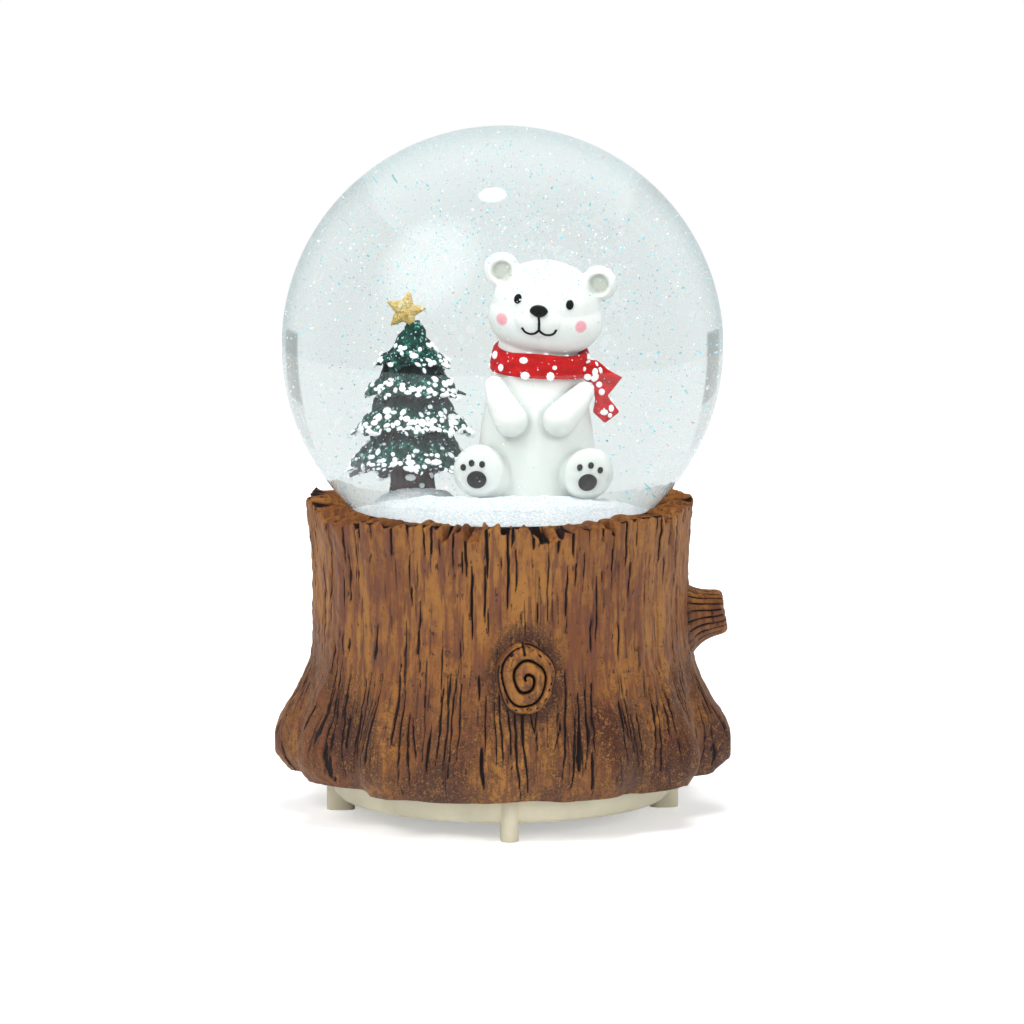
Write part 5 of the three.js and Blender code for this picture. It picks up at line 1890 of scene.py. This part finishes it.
def settled_recipe():
    """Flakes that lie on whatever faces up: snow, bear and tree."""
    recipe = GeometryRecipe("settled_glitter", {
        "Surface": "NodeSocketObject",
        "Density": "NodeSocketFloat",
        "Flake size": "NodeSocketFloat",
        "Seed": "NodeSocketInt",
        "Finish": "NodeSocketMaterial",
    })
    g = recipe.graph
    seed = recipe.input("Seed")
    base = g.node("GeometryNodeObjectInfo", {}, {"Object": recipe.input("Surface")}, "Geometry")
    upward = g.axes(g.node("GeometryNodeInputNormal", {}))[2]
    share = g.node("ShaderNodeMapRange", {}, {"Value": upward, "From Min": -0.2, "From Max": 0.9},
                   "Result")
    scatter = g.node("GeometryNodeDistributePointsOnFaces", {}, {
        "Mesh": base, "Density": share * recipe.input("Density"), "Seed": seed,
    }).socket.node
    points = g.tinted(Wire(g, scatter.outputs["Points"]), seed + 4)
    lift = g.node("ShaderNodeCombineXYZ", {}, {"Z": 0.05 * MM})
    points = g.node("GeometryNodeSetPosition", {}, {"Geometry": points, "Offset": lift})
    turn = g.node("FunctionNodeRotateRotation", {"rotation_space": "LOCAL"}, {
        "Rotation": Wire(g, scatter.outputs["Rotation"]),
        "Rotate By": g.chance((-0.5, -0.5, 0), (0.5, 0.5, TAU), seed + 6),
    })
    size = g.chance(0.6, 1.3, seed + 5)
    recipe.end(g.flakes(points, recipe.input("Flake size"), turn, size), recipe.input("Finish"))
    return recipe


# How many flakes lie on a square millimetre of each piece, where it faces straight up.
SETTLED = (
    ("snow_mound_cover", 0.55),
    ("loose_snow_drift", 0.9),
    ("bear_casting", 0.22),
    ("fir_tiers", 0.3),
)
SETTLED_SIZE = 1.1  # against the size of the drifting flakes


class SNOWGLOBE_OT_settled(bpy.types.Operator):
    """Makes the glitter that lies on the snow, the bear and the tree"""

    bl_idname = "snowglobe.settled"
    bl_label = "Settled glitter"

    def execute(self, context):
        look = context.scene.snowglobe_globe
        recipe, finish = settled_recipe(), bpy.data.materials["glitter_flakes"]
        for k, (name, density) in enumerate(SETTLED):
            flakes = recipe.make("glitter_on_" + name, {
                "Surface": bpy.data.objects[name], "Density": density / MM ** 2,
                "Flake size": look.flake_size * SETTLED_SIZE, "Seed": 60 + k, "Finish": finish,
            })
            install(flakes, "snow")
        return {"FINISHED"}


# ---- Stage --------------------------------------------------------------------------------

# Each lamp: name, place and diameter in metres, and power in watts.
LAMPS = (
    ("key_softbox", (-1.0, -0.95, 1.3), 0.9, 14),
    ("right_softbox", (1.3, -1.1, 0.7), 0.8, 8),
    ("overhead_softbox", (0.1, -0.35, 1.7), 0.7, 13),
)


class SNOWGLOBE_OT_stage(bpy.types.Operator):
    """Makes the camera, the lamps, the floor and the pale room"""

    bl_idname = "snowglobe.stage"
    bl_label = "Camera, light and floor"

    aim = Vector((2.15, 0, 68.25)) * MM
    floor_radius = 0.85

    def execute(self, context):
        look = context.scene.snowglobe_stage
        self.add_camera(look)
        self.add_floor()
        self.add_room(context.scene)
        for lamp in LAMPS:
            self.add_lamp(*lamp)
        context.scene.view_settings.view_transform = "Standard"
        context.scene.view_settings.look = "None"
        return {"FINISHED"}

    def add_camera(self, look):
        camera = bpy.data.objects.new("studio_camera", bpy.data.cameras.new("studio_camera"))
        bpy.context.scene.collection.objects.link(camera)
        back = Vector((0, -math.cos(look.elevation), math.sin(look.elevation)))
        camera.location = self.aim + back * look.distance
        camera.rotation_euler = (-back).to_track_quat("-Z", "Y").to_euler()
        camera.data.lens = look.lens
        camera.data.sensor_width = 36
        bpy.context.scene.camera = camera

    def add_floor(self):
        rings = [(0, 0), (0.3, 0), (0.6, 0), (self.floor_radius, 0)]
        points, faces = turned(np.array(rings) / MM, 96)
        floor = mesh_piece("studio_floor", points, faces)
        if floor.data.polygons[0].normal.z < 0:
            floor.data.flip_normals()
        material, g = new_finish("backlit_white_table")
        speckle = g.noise(g.place(), 30 * MM, 3)
        rays = g.node("ShaderNodeLightPath").socket.node.outputs
        seen = Wire(g, rays["Is Camera Ray"])
        top = g.node("ShaderNodeBsdfPrincipled", {}, {
            "Base Color": g.mix(speckle * 0.5, (0.93, 0.93, 0.93, 1), (0.91, 0.91, 0.91, 1)),
            "Roughness": 0.9,
            "Specular IOR Level": 0.1,
            "Emission Color": g.mix(seen, (0, 0, 0, 1), (0.4, 0.4, 0.4, 1)),
            "Emission Strength": 1.0,
        })
        below = g.node("ShaderNodeNewGeometry", out="Backfacing")
        clear = g.node("ShaderNodeBsdfTransparent", {}, {"Color": (1, 1, 1, 1)})
        g.output(g.node("ShaderNodeMixShader", {}, {0: below, 1: top, 2: clear}))
        dress(floor, material)
        floor.visible_transmission = False

    def add_room(self, scene):
        """White to the camera. To mirrors and lenses it has dark flags left and right."""
        world = bpy.data.worlds.new("pale_room")
        scene.world = world
        world.use_nodes = True
        g = Graph(world.node_tree)
        direction = g.node("ShaderNodeTexCoord", out="Generated")
        across, front, up = g.axes(direction)
        side = across.work("ABSOLUTE", across)
        flag = side.step(0.7, 0.73) * side.step(0.88, 0.85) * front.step(0.0, 0.1)
        flag = flag * up.step(-0.15, -0.13)
        strong = flag * up.step(0.13, 0.11)
        weak = flag * up.step(0.34, 0.3)
        behind = g.mix(front.step(0.68, 0.4), (0.94, 0.98, 0.975, 1), (0.8, 0.9, 0.905, 1))
        behind = g.mix(weak * 0.4, behind, (0.4, 0.42, 0.4, 1))
        behind = g.mix(strong * 0.85, behind, (0.3, 0.32, 0.3, 1))
        rays = g.node("ShaderNodeLightPath").socket.node.outputs
        glow_at = g.along(direction, (-0.57, -0.42, 0.71))
        lamp_at = g.along(direction, (-0.065, 0.06, 0.996))
        mirrored = g.mix(front.step(0.0, 0.7), (0.17, 0.18, 0.19, 1), (0.8, 0.87, 0.88, 1))
        outside = 1 - Wire(g, rays["Transmission Depth"]).step(0.4, 0.6)
        mirrored = g.mix(glow_at.step(0.87, 0.995) * outside, mirrored, (3.6, 3.7, 3.7, 1))
        mirrored = g.mix(lamp_at.step(0.9945, 0.9995) * outside, mirrored, (17, 17, 17, 1))
        bounced = Wire(g, rays["Glossy Depth"]).step(0.4, 0.6)
        lighting = Wire(g, rays["Diffuse Depth"]).step(0.4, 0.6)
        behind = g.mix(lighting, behind, (1.6, 1.62, 1.62, 1))
        room = g.mix(Wire(g, rays["Is Transmission Ray"]), (0.5, 0.51, 0.51, 1), behind)
        room = g.mix(bounced, room, mirrored)
        shade = g.mix(Wire(g, rays["Is Camera Ray"]), room, (1, 1, 1, 1))
        glow = g.node("ShaderNodeBackground", {}, {"Color": shade, "Strength": 1.0})
        g.node("ShaderNodeOutputWorld", {}, {"Surface": glow})

    def add_lamp(self, name, place, size, power):
        """A round lamp that faces the object. Mirrors and lenses don't show it."""
        lamp = bpy.data.lights.new(name, "AREA")
        lamp.shape = "DISK"
        lamp.size = size
        lamp.energy = power
        holder = bpy.data.objects.new(name, lamp)
        bpy.context.scene.collection.objects.link(holder)
        holder.location = place
        holder.rotation_euler = (Vector(place) - self.aim).to_track_quat("Z", "Y").to_euler()
        holder.visible_glossy = False
        holder.visible_transmission = False


# ---- Add-on -------------------------------------------------------------------------------

OPERATORS = (
    SNOWGLOBE_OT_stump, SNOWGLOBE_OT_base_plate, SNOWGLOBE_OT_screws, SNOWGLOBE_OT_key,
    SNOWGLOBE_OT_movement, SNOWGLOBE_OT_glass, SNOWGLOBE_OT_glitter, SNOWGLOBE_OT_snow,
    SNOWGLOBE_OT_bear, SNOWGLOBE_OT_scarf, SNOWGLOBE_OT_fir, SNOWGLOBE_OT_star,
    SNOWGLOBE_OT_settled, SNOWGLOBE_OT_stage,
)
LOOKS = {
    "snowglobe_stump": StumpLook,
    "snowglobe_globe": GlobeLook,
    "snowglobe_figures": FigureLook,
    "snowglobe_stage": StageLook,
}


class SNOWGLOBE_PT_pieces(bpy.types.Panel):
    """Lists the pieces and what can be changed about them"""

    bl_label = "Snow globe"
    bl_idname = "SNOWGLOBE_PT_pieces"
    bl_space_type = "VIEW_3D"
    bl_region_type = "UI"
    bl_category = "Snow globe"

    def draw(self, context):
        for name in LOOKS:
            look = getattr(context.scene, name)
            box = self.layout.box()
            for label in look.bl_rna.properties.keys():
                if label not in ("rna_type", "name"):
                    box.prop(look, label)
        for operator in OPERATORS:
            self.layout.operator(operator.bl_idname)


def register():
    for group in (*LOOKS.values(), *OPERATORS, SNOWGLOBE_PT_pieces):
        bpy.utils.register_class(group)
    for name, look in LOOKS.items():
        setattr(bpy.types.Scene, name, bpy.props.PointerProperty(type=look))


def unregister():
    for name in LOOKS:
        delattr(bpy.types.Scene, name)
    for group in (SNOWGLOBE_PT_pieces, *reversed(OPERATORS), *LOOKS.values()):
        bpy.utils.unregister_class(group)


def main():
    register()
    for operator in OPERATORS:
        family, name = operator.bl_idname.split(".")
        getattr(getattr(bpy.ops, family), name)()


if __name__ == "__main__":
    main()
